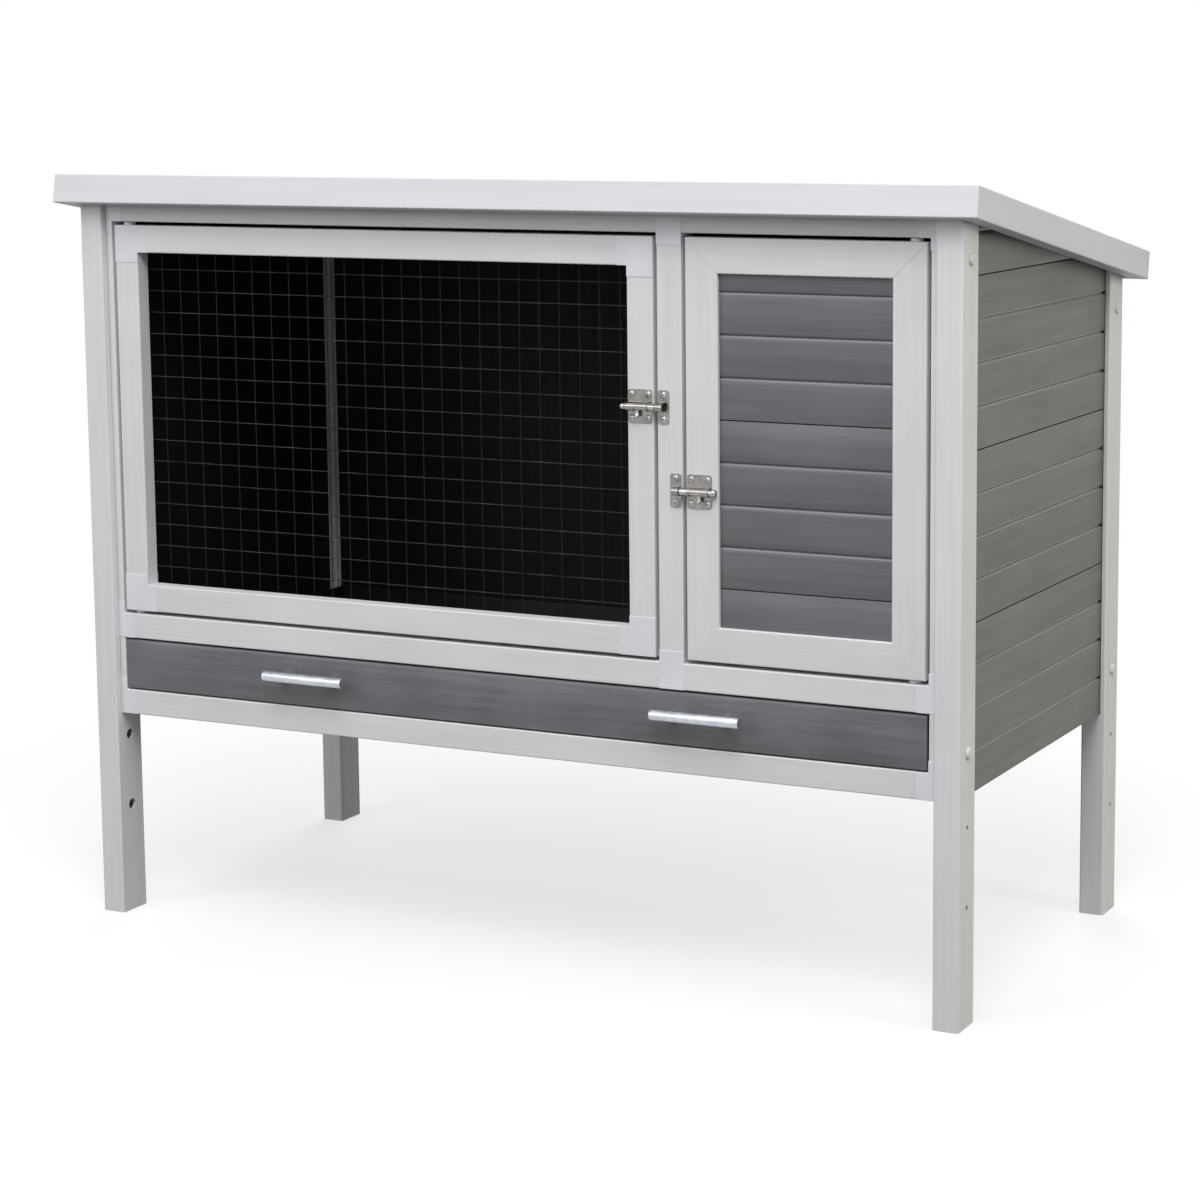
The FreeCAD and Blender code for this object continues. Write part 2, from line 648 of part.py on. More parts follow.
def wire_corner(x, z, way_x, way_z):
    """Moulded corner with two arms and a spigot on each, growing from the door's corner."""
    y0 = FRAME_Y0 - CONNECTOR_PROUD
    inset = RAIL_WALL + SPIGOT_CLEARANCE
    s0, s1 = FRAME_Y0 + inset, DOOR_Y1 - inset
    reach = CORNER_ARM + SPIGOT_L

    def span(start, a, b, way):
        return sorted((start + way * a, start + way * b))

    shape = box(*span(x, 0, CORNER_ARM, way_x), y0, DOOR_Y1, *span(z, 0, WIRE_FRAME_W, way_z))
    shape = shape.fuse(box(*span(x, 0, WIRE_FRAME_W, way_x), y0, DOOR_Y1,
                           *span(z, 0, CORNER_ARM, way_z)))
    shape = shape.fuse(box(*span(x, CORNER_ARM, reach, way_x), s0, s1,
                           *span(z, inset, WIRE_FRAME_W - inset, way_z)))
    shape = shape.fuse(box(*span(x, inset, WIRE_FRAME_W - inset, way_x), s0, s1,
                           *span(z, CORNER_ARM, reach, way_z)))
    return shape.removeSplitter().cut(pivots(WIRE_PIVOT_X))


def wire_corners():
    return [wire_corner(x, z, way_x, way_z) for x, way_x in ((WIRE_X0, 1), (WIRE_X1, -1))
            for z, way_z in ((DOOR_Z0, 1), (DOOR_Z1, -1))]


def opening(inset):
    """Edges of the wire door's opening, widened by an inset into the frame."""
    return (WIRE_X0 + WIRE_FRAME_W - inset, WIRE_X1 - WIRE_FRAME_W + inset,
            DOOR_Z0 + WIRE_FRAME_W - inset, DOOR_Z1 - WIRE_FRAME_W + inset)


def centred_steps(a, b, pitch):
    count = int((b - a) / 2 / pitch)
    return [(a + b) / 2 + i * pitch for i in range(-count, count + 1)]


def wire_mesh():
    """Square welded mesh on the back of the door: uprights behind cross wires."""
    x0, x1, z0, z1 = opening(MESH_OVERLAP)
    y = DOOR_Y1 + WIRE_R
    wires = [rod(WIRE_R, Vector(x0, y, z), Vector(x1, y, z))
             for z in centred_steps(z0 + WIRE_R, z1 - WIRE_R, MESH_PITCH)]
    y += 2 * WIRE_R
    wires += [rod(WIRE_R, Vector(x, y, z0), Vector(x, y, z1))
              for x in centred_steps(x0 + WIRE_R, x1 - WIRE_R, MESH_PITCH)]
    return wires


def mesh_strips():
    """Flat strips that clamp the mesh's edges against the door frame."""
    x0, x1, z0, z1 = opening(STRIP_INSET + STRIP_W)
    y0 = DOOR_Y1 + 4 * WIRE_R
    y1 = y0 + STRIP_T
    return [box(x0, x1, y0, y1, z0, z0 + STRIP_W), box(x0, x1, y0, y1, z1 - STRIP_W, z1),
            box(x0, x0 + STRIP_W, y0, y1, z0 + STRIP_W, z1 - STRIP_W),
            box(x1 - STRIP_W, x1, y0, y1, z0 + STRIP_W, z1 - STRIP_W)]


# Nest door

def nest_channel():
    y0 = FRAME_Y0 + NEST_BOARD_INSET
    x0, x1, z0, z1 = nest_field()
    return box(x0, x1, y0 - CHANNEL_CLEARANCE, y0 + BOARD_T + CHANNEL_CLEARANCE, z0, z1)


def nest_field():
    inset = NEST_FRAME_W - CHANNEL_DEPTH
    return NEST_X0 + inset, NEST_X1 - inset, DOOR_Z0 + inset, DOOR_Z1 - inset


def nest_member(points, axis):
    """One mitred side of the nest door's frame, from its outer and inner corners (x, z)."""
    shape = prism([Vector(x, FRAME_Y0, z) for x, z in points], Vector(0, DOOR_T, 0))
    return rounded(shape, axis, RAIL_ROUND).cut([nest_channel()] + pivots(NEST_PIVOT_X))


def nest_frame():
    w = NEST_FRAME_W
    outer = [(NEST_X0, DOOR_Z0), (NEST_X1, DOOR_Z0), (NEST_X1, DOOR_Z1), (NEST_X0, DOOR_Z1)]
    inner = [(NEST_X0 + w, DOOR_Z0 + w), (NEST_X1 - w, DOOR_Z0 + w),
             (NEST_X1 - w, DOOR_Z1 - w), (NEST_X0 + w, DOOR_Z1 - w)]
    names = ("nest_door_rail_bottom", "nest_door_stile_hinge",
             "nest_door_rail_top", "nest_door_stile_latch")
    screws = [screw_shank(x, z) for x, z in plate_screw_places(NEST_X0 + LATCH_EDGE, LOWER_BOLT_Z)]
    for i, name in enumerate(names):
        j = (i + 1) % 4
        member = nest_member([outer[i], outer[j], inner[j], inner[i]], 0 if i % 2 == 0 else 2)
        save(name, member.cut(screws))


def nest_boards():
    """Boards in the frame's channel; the lowest one stops short of the channel's end."""
    x0, x1, z0, z1 = nest_field()
    seam = DOOR_Z0 + NEST_FRAME_W + NEST_FIRST_SEAM
    z0 = max(z0, seam - BOARD_PITCH)
    return panel_wall(x0, x1, FRAME_Y0 + NEST_BOARD_INSET, z0, z1, seam)


# Barrel bolts

def bridge(x0, x1, z, radius):
    """Half-round bridge over the rod: solid from the plate to `radius` round the rod's line."""
    half = rod(radius, Vector(x0, ROD_Y, z), Vector(x1, ROD_Y, z))
    return half.fuse(box(x0, x1, ROD_Y, FRAME_Y0 - LATCH_T, z - radius, z + radius))


def latch_sheet(x0, x1, z, bridge_x0, bridge_x1, screws):
    """Pressed plate with a bridge for the rod and its screw holes."""
    y0 = FRAME_Y0 - LATCH_T
    plate = rounded(box(x0, x1, y0, FRAME_Y0, z - LATCH_H / 2, z + LATCH_H / 2), 1, LATCH_ROUND)
    inner = ROD_R + ROD_CLEARANCE
    loop = bridge(bridge_x0, bridge_x1, z, inner + LATCH_T)
    plate = plate.fuse(loop).cut(bridge(bridge_x0 - CUT_PAST, bridge_x1 + CUT_PAST, z, inner))
    return plate.cut([screw_shank(px, pz) for px, pz in screws])


def plate_screw_places(x0, z):
    middle = x0 + LATCH_W / 2
    return [(middle + dx, z + dz) for dx in (-LATCH_SCREW_X, LATCH_SCREW_X)
            for dz in (-LATCH_SCREW_Z, LATCH_SCREW_Z)]


def keeper_screw_places():
    left = MULLION_X0 + KEEPER_EDGE + KEEPER_W / 2
    right = MULLION_X1 - KEEPER_EDGE - KEEPER_W / 2
    return [(x, z + dz) for x, z in ((left, UPPER_BOLT_Z), (right, LOWER_BOLT_Z))
            for dz in (-LATCH_SCREW_Z, LATCH_SCREW_Z)]


def rod_ends(door_edge, way):
    """Where a drawn-back rod's tip and tail are; way is towards the keeper."""
    tip = door_edge + way * (DOOR_GAP + KEEPER_EDGE - ROD_TIP_GAP)
    tail = door_edge - way * (LATCH_EDGE + LATCH_W + ROD_TAIL)
    return tip, tail


def latch_plate(door_edge, z, way):
    """Plate on a door, with a window under its barrel for the rod's tab."""
    near = door_edge - way * LATCH_EDGE
    x0, x1 = sorted((near, near - way * LATCH_W))
    b0, b1 = sorted((near - way * BARREL_EDGE, near - way * (BARREL_EDGE + BARREL_W)))
    shape = latch_sheet(x0, x1, z, b0, b1, plate_screw_places(x0, z))
    tab_x = rod_ends(door_edge, way)[0] - way * TAB_FROM_TIP
    reach = TAB_W / 2 + TAB_CLEARANCE
    w0, w1 = sorted((tab_x - way * reach, tab_x + way * (ROD_TRAVEL + reach)))
    window = box(w0, w1, ROD_Y - 2 * ROD_R, FRAME_Y0 - LATCH_T, z - 2 * ROD_R, z - WINDOW_DROP)
    return shape.cut(window)


def keeper(edge, z, way):
    """Keeper on the mullion, with a loop beside the door for the rod."""
    near = edge + way * KEEPER_EDGE
    x0, x1 = sorted((near, near + way * KEEPER_W))
    l0, l1 = sorted((near, near + way * LOOP_W))
    screws = [place for place in keeper_screw_places() if abs(place[1] - z) < LATCH_H / 2]
    return latch_sheet(x0, x1, z, l0, l1, screws)


def bolt_rod(door_edge, z, way):
    """Round rod with a domed tail, and a bent tab to slide it by."""
    tip, tail = rod_ends(door_edge, way)
    shape = rod(ROD_R, Vector(tail, ROD_Y, z), Vector(tip, ROD_Y, z))
    shape = shape.fuse(Part.makeSphere(ROD_R, Vector(tail, ROD_Y, z)))
    x = tip - way * TAB_FROM_TIP - TAB_W / 2
    half = TAB_T / 2
    outline = [(half, 0), (half, -TAB_L), (-TAB_LIP, -TAB_L), (-TAB_LIP, TAB_T - TAB_L),
               (-half, TAB_T - TAB_L), (-half, 0)]
    tab = prism([Vector(x, ROD_Y + dy, z + dz) for dy, dz in outline], Vector(TAB_W, 0, 0))
    return shape.fuse(tab)


def screw_shank(x, z):
    return rod(SCREW_R, Vector(x, FRAME_Y0 - LATCH_T, z), Vector(x, FRAME_Y0 + SCREW_L, z))


def screw(x, z):
    """Domed screw seated on a latch plate: a cap of a sphere on its shank."""
    seat = FRAME_Y0 - LATCH_T
    ball = (SCREW_HEAD_R ** 2 + SCREW_HEAD_H ** 2) / (2 * SCREW_HEAD_H)
    head = Part.makeSphere(ball, Vector(x, seat - SCREW_HEAD_H + ball, z))
    reach = 2 * ball
    head = head.common(box(x - reach, x + reach, seat - reach, seat, z - reach, z + reach))
    return head.fuse(screw_shank(x, z))


# Drawer

def drawer_front():
    x = STILE_IN - DRAWER_GAP
    y0, y1 = FRAME_Y0, FRAME_Y0 + DRAWER_FRONT_T
    outline = [(y0, DRAWER_Z0), (y1, DRAWER_Z0), (y1, DRAWER_Z1), (y0 + DRAWER_BEVEL, DRAWER_Z1),
               (y0, DRAWER_Z1 - DRAWER_BEVEL)]
    return prism([Vector(-x, y, z) for y, z in outline], Vector(2 * x, 0, 0))


def drawer_tray():
    y0, y1 = FRAME_Y0 + DRAWER_FRONT_T, BACK_Y0 - TRAY_BACK_GAP
    outer = box(-TRAY_X, TRAY_X, y0, y1, DRAWER_Z0, TRAY_TOP)
    return outer.cut(box(-TRAY_X + TRAY_WALL, TRAY_X - TRAY_WALL, y0 + TRAY_WALL, y1 - TRAY_WALL,
                         DRAWER_Z0 + TRAY_WALL, TRAY_TOP + CUT_PAST))


def right_handle():
    """Round bar on two posts screwed to the drawer's face."""
    y, z = FRAME_Y0 - HANDLE_STANDOFF, (DRAWER_Z0 + DRAWER_Z1) / 2 + HANDLE_LIFT
    half = HANDLE_L / 2
    shape = rod(HANDLE_R, Vector(HANDLE_X - half, y, z), Vector(HANDLE_X + half, y, z))
    for x in (HANDLE_X - HANDLE_SPACING / 2, HANDLE_X + HANDLE_SPACING / 2):
        shape = shape.fuse(rod(HANDLE_POST_R, Vector(x, y, z), Vector(x, FRAME_Y0, z)))
    return shape


def save_pair(name, shapes):
    """Write the right-hand piece and its mirror image on the left."""
    save(name + "_right", *shapes)
    save(name + "_left", *[mirrored(shape) for shape in shapes])


def save_cabinet():
    save_pair("post_front", [right_post(True)])
    save_pair("post_back", [right_post(False)])
    save("foot_plugs", *foot_plugs())
    save("frame_bolts", *frame_bolts())
    save("bolt_caps", *bolt_caps())
    save("top_rail_left", front_rail(-CONNECTOR_IN, MULLION_X0, TOP_Z0))
    save("top_rail_right", front_rail(MULLION_X1, CONNECTOR_IN, TOP_Z0))
    save("mid_rail_left", front_rail(-CONNECTOR_IN, MULLION_X0, MID_Z0))
    save("mid_rail_right", front_rail(MULLION_X1, CONNECTOR_IN, MID_Z0))
    save("bottom_rail", front_rail(-CONNECTOR_IN, CONNECTOR_IN, CABINET_BASE))
    save_pair("front_stile", right_stile())
    save("mullion", mullion())
    save("frame_corners", *frame_corners())
    save("frame_tees", *frame_tees())
    save_pair("side_boards", right_side_boards())
    save_pair("back_stile", [right_back_stile()])
    save("back_mullion", back_bar(MULLION_X0, MULLION_X1, BASE_TOP, BACK_TOP_Z0, 2))
    save("back_rail_top", back_bar(-BACK_STILE_IN, BACK_STILE_IN, BACK_TOP_Z0, BACK_TOP, 0))
    save("back_rail_bottom", back_bar(-BACK_STILE_IN, BACK_STILE_IN, CABINET_BASE, BASE_TOP, 0))
    save("back_boards", *back_boards())
    save_pair("drawer_runner", [right_runner()])
    save("tray_bearers", *tray_bearers())
    save("partition", partition())
    roof_rails()
    save("roof_boards", *roof_boards())


def save_doors():
    screws = [screw_shank(x, z) for x, z in plate_screw_places(
        WIRE_X1 - LATCH_EDGE - LATCH_W, UPPER_BOLT_Z)]
    save("wire_door_stile_hinge", wire_stile(WIRE_X0, WIRE_X0 + WIRE_FRAME_W))
    save("wire_door_stile_latch", wire_stile(WIRE_X1 - WIRE_FRAME_W, WIRE_X1).cut(screws))
    save("wire_door_rail_top", wire_rail(DOOR_Z1 - WIRE_FRAME_W))
    save("wire_door_rail_bottom", wire_rail(DOOR_Z0))
    save("wire_door_corners", *wire_corners())
    save("wire_door_pivots", *pivots(WIRE_PIVOT_X))
    save("wire_mesh", *wire_mesh())
    save("mesh_strips", *mesh_strips())
    nest_frame()
    save("nest_door_boards", *nest_boards())
    save("nest_door_pivots", *pivots(NEST_PIVOT_X))


def save_latches():
    save("upper_latch_plate", latch_plate(WIRE_X1, UPPER_BOLT_Z, 1))
    save("upper_bolt_rod", bolt_rod(WIRE_X1, UPPER_BOLT_Z, 1))
    save("lower_latch_plate", latch_plate(NEST_X0, LOWER_BOLT_Z, -1))
    save("lower_bolt_rod", bolt_rod(NEST_X0, LOWER_BOLT_Z, -1))
    save("bolt_keepers", keeper(MULLION_X0, UPPER_BOLT_Z, 1),
         keeper(MULLION_X1, LOWER_BOLT_Z, -1))
    upper = plate_screw_places(WIRE_X1 - LATCH_EDGE - LATCH_W, UPPER_BOLT_Z)
    save("upper_latch_screws", *[screw(x, z) for x, z in upper])
    lower = plate_screw_places(NEST_X0 + LATCH_EDGE, LOWER_BOLT_Z)
    save("lower_latch_screws", *[screw(x, z) for x, z in lower])
    save("keeper_screws", *[screw(x, z) for x, z in keeper_screw_places()])


def save_drawer():
    save("drawer_front", drawer_front())
    save("drawer_tray", drawer_tray())
    save_pair("drawer_handle", [right_handle()])


os.makedirs("parts", exist_ok=True)
save_cabinet()
save_doors()
save_latches()
save_drawer()
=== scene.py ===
import math
import bmesh
import bpy
import numpy as np
from mathutils import Matrix, Vector


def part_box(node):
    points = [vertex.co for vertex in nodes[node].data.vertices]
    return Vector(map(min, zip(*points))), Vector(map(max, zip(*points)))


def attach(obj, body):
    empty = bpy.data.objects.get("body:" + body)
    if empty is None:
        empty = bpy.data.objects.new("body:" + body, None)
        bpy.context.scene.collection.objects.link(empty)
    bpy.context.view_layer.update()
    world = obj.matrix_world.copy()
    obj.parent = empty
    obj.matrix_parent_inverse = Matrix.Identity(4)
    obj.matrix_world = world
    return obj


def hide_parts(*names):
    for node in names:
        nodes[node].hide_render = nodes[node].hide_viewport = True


# Rabbit hutch of composite posts, rails and boards, dressed over its CAD frame.
# Metres; X to the right, Y to the back, Z up; the origin is on the ground under the middle.

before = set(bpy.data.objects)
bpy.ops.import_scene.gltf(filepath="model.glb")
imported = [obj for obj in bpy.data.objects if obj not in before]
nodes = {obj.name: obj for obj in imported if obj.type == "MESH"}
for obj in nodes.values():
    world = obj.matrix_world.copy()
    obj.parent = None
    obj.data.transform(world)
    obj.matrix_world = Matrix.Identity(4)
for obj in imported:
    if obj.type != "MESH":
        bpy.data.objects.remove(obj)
bpy.context.view_layer.update()
mm = 0.001
print("frame loaded:", len(nodes), "nodes")


# sRGB hex to the linear colour that a shader socket takes
def linear(hexColour):
    parts = [int(hexColour[i:i + 2], 16) / 255 for i in (1, 3, 5)]
    return [p / 12.92 if p <= 0.04045 else ((p + 0.055) / 1.055) ** 2.4 for p in parts] + [1.0]


# adds a node, sets its properties, and fills or links its inputs; a node given as an input
# stands for its first output
def addNode(tree, kind, inputs=None, **settings):
    node = tree.nodes.new(kind)
    for key, value in settings.items():
        setattr(node, key, value)
    for key, value in (inputs or {}).items():
        if isinstance(value, bpy.types.Node):
            value = value.outputs[0]
        if isinstance(value, bpy.types.NodeSocket):
            tree.links.new(value, node.inputs[key])
        else:
            node.inputs[key].default_value = value
    return node


# a new material with its shader's plain values set, and its tree to build on
def newMaterial(name, **values):
    material = bpy.data.materials.new(name)
    material.use_nodes = True
    tree = material.node_tree
    shader = tree.nodes["Principled BSDF"]
    for key, value in values.items():
        shader.inputs[key.replace("_", " ")].default_value = value
    return tree, shader


# colour, roughness and height patterns joined to a shader; depth is the relief in millimetres
def finishShader(tree, shader, tint, dark, light, rough, height, depth):
    colour = addNode(tree, "ShaderNodeMix", {0: tint, 6: linear(dark), 7: linear(light)}, data_type="RGBA")
    tree.links.new(colour.outputs[2], shader.inputs["Base Color"])
    tree.links.new(rough.outputs[0], shader.inputs["Roughness"])
    bump = addNode(tree, "ShaderNodeBump", {"Height": height, "Strength": 1.0, "Distance": depth * mm})
    tree.links.new(bump.outputs[0], shader.inputs["Normal"])


# object coordinates in grains: one unit is a grain's width across and its length along
def grainSpot(tree, along, width, length, turn=0.0, shift=None):
    spot = addNode(tree, "ShaderNodeTexCoord").outputs["Object"]
    if turn:
        spot = addNode(tree, "ShaderNodeMapping", {"Vector": spot, "Rotation": (turn, 0, 0)})
    scale = [1 / (width * mm)] * 3
    scale["XYZ".index(along)] = 1 / (length * mm)
    spot = addNode(tree, "ShaderNodeMapping", {"Vector": spot, "Scale": scale})
    if shift is not None:
        spot = addNode(tree, "ShaderNodeVectorMath", {0: spot, 1: shift})
    return spot


# A noise lies mostly between these two values, which a Map Range takes to its own two ends;
# the wider pair is for two noises added, and the widest for three.
oneNoise = {1: 0.3, 2: 0.7}
twoNoises = {1: 0.7, 2: 1.3}
threeNoises = {1: 1.1, 2: 1.9}

panelShift = (61, 97, 43)                           # how far apart two panels' stretches lie, in grains
panelTone = 0.2                                     # how far apart their tones lie
pit = {"wide": 0.8, "long": 3.0}                    # a pit in the composite, in millimetres


# Wood-plastic composite: wood flour in polyethylene, extruded and then brushed lengthwise.
# It shows fine streaks along the profile, soft clouds of tone, a satin sheen and tiny pits.
# Real brushing is about 0.3 mm wide; it is drawn wider so that it shows.
def woodPlastic(name, along, dark, light, streak=1.4, streakLength=130, cloud=80, depth=0.04,
                rough=(0.44, 0.6), shine=0.5, separate=False, turn=0.0):
    tree, shader = newMaterial(name, IOR=1.5, Specular_IOR_Level=shine)
    shift = None
    if separate:                                    # each panel is cut from another stretch
        island = addNode(tree, "ShaderNodeNewGeometry").outputs["Random Per Island"]
        shift = addNode(tree, "ShaderNodeVectorMath", {0: island, 1: panelShift}, operation="MULTIPLY")
    fine, bands, clouds, pits = (
        addNode(tree, "ShaderNodeTexNoise", {"Vector": grainSpot(tree, along, wide, long, turn, shift),
                                             "Scale": 1.0, "Detail": detail})
        for wide, long, detail in ((streak, streakLength, 3.0), (streak * 6, cloud * 4, 2.0),
                                   (cloud, cloud * 1.5, 2.0), (pit["wide"], pit["long"], 2.0)))
    tone = addNode(tree, "ShaderNodeMath", {0: fine, 1: bands}, operation="ADD")
    tone = addNode(tree, "ShaderNodeMath", {0: tone, 1: clouds}, operation="ADD")
    if separate:                                    # and its tone is a little apart from the next one's
        tone = addNode(tree, "ShaderNodeMath", {0: island, 1: panelTone, 2: tone}, operation="MULTIPLY_ADD")
        tone = addNode(tree, "ShaderNodeMath", {0: tone, 1: panelTone / 2}, operation="SUBTRACT")
    tint = addNode(tree, "ShaderNodeMapRange", {0: tone, **threeNoises})
    gloss = addNode(tree, "ShaderNodeMapRange", {0: fine, **oneNoise, 3: rough[0], 4: rough[1]})
    relief = addNode(tree, "ShaderNodeMath", {0: fine, 1: pits}, operation="ADD")
    finishShader(tree, shader, tint, dark, light, gloss, relief, depth)
    return bpy.data.materials[name]


# Injection-moulded plastic: even colour, a fine sparked texture from the mould and a soft shine.
# The sparked grain is about 0.2 mm; it is drawn coarser so that it shows.
def mouldedPlastic(name, dark, light, rough, spark=0.9, depth=0.02, flowWide=30, **values):
    tree, shader = newMaterial(name, **values)
    spot = addNode(tree, "ShaderNodeTexCoord").outputs["Object"]
    grain = addNode(tree, "ShaderNodeTexNoise", {"Vector": spot, "Scale": 1 / (spark * mm), "Detail": 3.0})
    flow = addNode(tree, "ShaderNodeTexNoise", {"Vector": spot, "Scale": 1 / (flowWide * mm), "Detail": 2.0})
    tint = addNode(tree, "ShaderNodeMapRange", {0: flow, **oneNoise})
    gloss = addNode(tree, "ShaderNodeMapRange", {0: grain, **oneNoise, 3: rough - 0.05, 4: rough + 0.07})
    finishShader(tree, shader, tint, dark, light, gloss, grain, depth)
    return bpy.data.materials[name]


# Metal with a worked face: fine lines along one axis from rolling or brushing, and faint clouds
# where its plating or anodising is duller.
def workedMetal(name, dark, light, along, rough, line=0.5, lineLength=25, cloud=8, depth=0.004):
    tree, shader = newMaterial(name, Metallic=1.0)
    spot = addNode(tree, "ShaderNodeTexCoord").outputs["Object"]
    lines = addNode(tree, "ShaderNodeTexNoise", {"Vector": grainSpot(tree, along, line, lineLength),
                                                 "Scale": 1.0, "Detail": 2.0})
    clouds = addNode(tree, "ShaderNodeTexNoise", {"Vector": spot, "Scale": 1 / (cloud * mm), "Detail": 3.0})
    tint = addNode(tree, "ShaderNodeMapRange", {0: clouds, **oneNoise})
    dull = addNode(tree, "ShaderNodeMath", {0: lines, 1: clouds}, operation="ADD")
    gloss = addNode(tree, "ShaderNodeMapRange", {0: dull, **twoNoises, 3: rough - 0.06, 4: rough + 0.08})
    finishShader(tree, shader, tint, dark, light, gloss, lines, depth)
    return bpy.data.materials[name]


# the darker and the lighter colour of each composite; the two edge pairs are painted highlights on the groove
# slopes, and the near-black pair is painted shade
finishes = {"rail": ("#d0d1d2", "#dbdcdd"), "trim": ("#c8cacd", "#d2d4d7"), "board": ("#59595d", "#6d6d71"),
            "side": ("#585651", "#6d6b65"), "drawer": ("#57575b", "#727276"), "paintedShade": ("#0b0b0c", "#121213"),
            "edge": ("#727277", "#84848a"), "sideGrooveHighlight": ("#6c6963", "#7c7973")}
roofTurn = math.radians(9.7)                        # the roof's pitch
railWood = {axis: woodPlastic("compositeRail" + axis, axis, *finishes["rail"]) for axis in "XYZ"}
trimWood = {axis: woodPlastic("compositeTrim" + axis, axis, *finishes["trim"], depth=0.03, turn=roofTurn)
            for axis in "XY"}
# The boards are the same composite with grey pigment; the side walls' copy is a little warmer, which paints in the
# warm light falling on that side.
boardWood = woodPlastic("compositeBoard", "X", *finishes["board"], separate=True)
sideWood = woodPlastic("compositeSideBoard", "Y", *finishes["side"], separate=True)
roofWood = woodPlastic("compositeRoofBoard", "Y", *finishes["board"], separate=True, turn=roofTurn)
# The drawer's front is embossed with a coarser and shorter grain.
drawerWood = woodPlastic("embossedDrawerFront", "X", *finishes["drawer"], streak=1.2, streakLength=60,
                         cloud=50, depth=0.09)
# At a moulded groove the slopes are smoother, and their paler colour is a painted highlight where light from above
# catches them.
grooveHighlight = woodPlastic("burnishedBoardEdge", "X", *finishes["edge"], rough=(0.34, 0.46))
# on the side walls the chamfers under each groove take this painted highlight too
sideGrooveHighlight = woodPlastic("burnishedSideBoardEdge", "Y", *finishes["sideGrooveHighlight"], rough=(0.34, 0.46))
# Painted shade: the boards' inner and hidden faces are near-black, standing in for the shade inside the hutch.
boardPaintedShade = woodPlastic("compositeCore", "Z", *finishes["paintedShade"], rough=(0.6, 0.8), shine=0.25, separate=True)
# ABS connectors: even in tone and a touch whiter and smoother than the rails they join.
railAbs = mouldedPlastic("mouldedAbs", "#d7d8dc", "#dedfe3", 0.42)
# Polypropylene tray, runners and bearers: black and waxy, with a coarse moulded grain.
trayPlastic = mouldedPlastic("blackPolypropylene", "#101011", "#1b1b1d", 0.5, 1.4, 0.05)
# Polyethylene caps and hinge pins: milky, smooth and a little glossy.
capPlastic = mouldedPlastic("whitePolyethylene", "#c9cac8", "#d3d4d2", 0.36, 1.2, 0.01)
# Rubber plugs in the legs: dark and dull.
footRubber = mouldedPlastic("footRubber", "#1a1a1b", "#262627", 0.75, 0.8, 0.04)
# PVC-coated steel wire: black, soft and slightly glossy, thicker where the wires are welded.
wireCoat = mouldedPlastic("pvcCoatedWire", "#0d0d0d", "#141414", 0.6, 1.5, 0.02, Specular_IOR_Level=0.2)
# Painted highlight on the upper half of the cross wires, where light from above falls: matt, pale and patchy over
# the black.
wireTopHighlight = mouldedPlastic("dustedWire", "#1c1c1b", "#474744", 0.85, 9.0, 0.03, Specular_IOR_Level=0.1)
# Nickel on steel: a warm grey mirror, clouded on the stamped plates and clear on rods and screws.
plateNickel = workedMetal("nickelPlatedSteel", "#7f7d79", "#999692", "Z", 0.24)
rodNickel = workedMetal("nickelPlatedRod", "#8c8b8b", "#aaa9a9", "X", 0.15)
screwNickel = workedMetal("nickelPlatedScrew", "#8e8d8b", "#b0afad", "Z", 0.15)
# Aluminium, brushed along the bar and anodised: cool, pale and satin.
handleSatin = workedMetal("anodisedAluminium", "#b4b8c0", "#c9ccd3", "X", 0.38, depth=0.01)
# Zinc on steel: duller and greyer than the nickel.
boltZinc = workedMetal("zincPlatedBolt", "#9c9d9b", "#bcbdbd", "X", 0.34)
print("materials made:", len(bpy.data.materials))


drawnWeld, cadWeld = 1e-7, 0.01 * mm                # points nearer than this are one point
flatTurn, sharpTurn = 0.5, 35                       # edges turning less are flat, and turning more sharp


# an object of one or more point grids: rows of points round a form, each row closed on itself.
# Neighbouring rows are joined by quads and both ends are covered by one face each; where an end
# row has shrunk to a point, its doubles merge. A row's strips and the ends take numbered materials;
# a list gives each grid its own.
def pieceFrom(name, grids, strips=0, ends=0, smooth=sharpTurn):
    points, faces, flags, start = [], [], [], 0
    for grid, strip in zip(grids, strips if isinstance(strips, list) else [strips] * len(grids)):
        rows, columns = grid.shape[:2]
        r = np.arange(rows - 1)[:, None] * columns
        c = np.arange(columns)[None, :]
        following = (c + 1) % columns
        quads = np.stack([r + c, r + following, r + columns + following, r + columns + c], -1)
        faces += (quads.reshape(-1, 4) + start).tolist()
        faces += [(np.arange(columns)[::-1] + start).tolist(),
                  (np.arange(columns) + start + (rows - 1) * columns).tolist()]
        flags += np.tile(np.broadcast_to(strip, columns), rows - 1).tolist() + [ends, ends]
        points.append(grid.reshape(-1, 3))
        start += rows * columns
    mesh = bpy.data.meshes.new(name)
    mesh.from_pydata(np.concatenate(points).tolist(), [], faces)
    mesh.polygons.foreach_set("material_index", np.array(flags, int))
    return cleaned(name, mesh, smooth, drawnWeld)


# merges doubles, drops faces with no area, points all faces outwards and smooths shallow edges
def cleaned(name, mesh, smooth, distance):
    work = bmesh.new()
    work.from_mesh(mesh)
    bmesh.ops.remove_doubles(work, verts=work.verts, dist=distance)
    bmesh.ops.dissolve_degenerate(work, dist=distance, edges=work.edges)
    bmesh.ops.recalc_face_normals(work, faces=work.faces)
    work.to_mesh(mesh)
    work.free()
    mesh.shade_smooth()
    mesh.set_sharp_from_angle(angle=math.radians(smooth))
    piece = bpy.data.objects.new(name, mesh)
    bpy.context.scene.collection.objects.link(piece)
    return piece


# rounds the edges that turn by more than a number of degrees
def rounded(piece, width, segments, above):
    bevel = piece.modifiers.new("roundedEdges", "BEVEL")
    bevel.width, bevel.segments, bevel.harden_normals = width * mm, segments, True
    bevel.limit_method, bevel.angle_limit = "ANGLE", math.radians(above)
    return piece


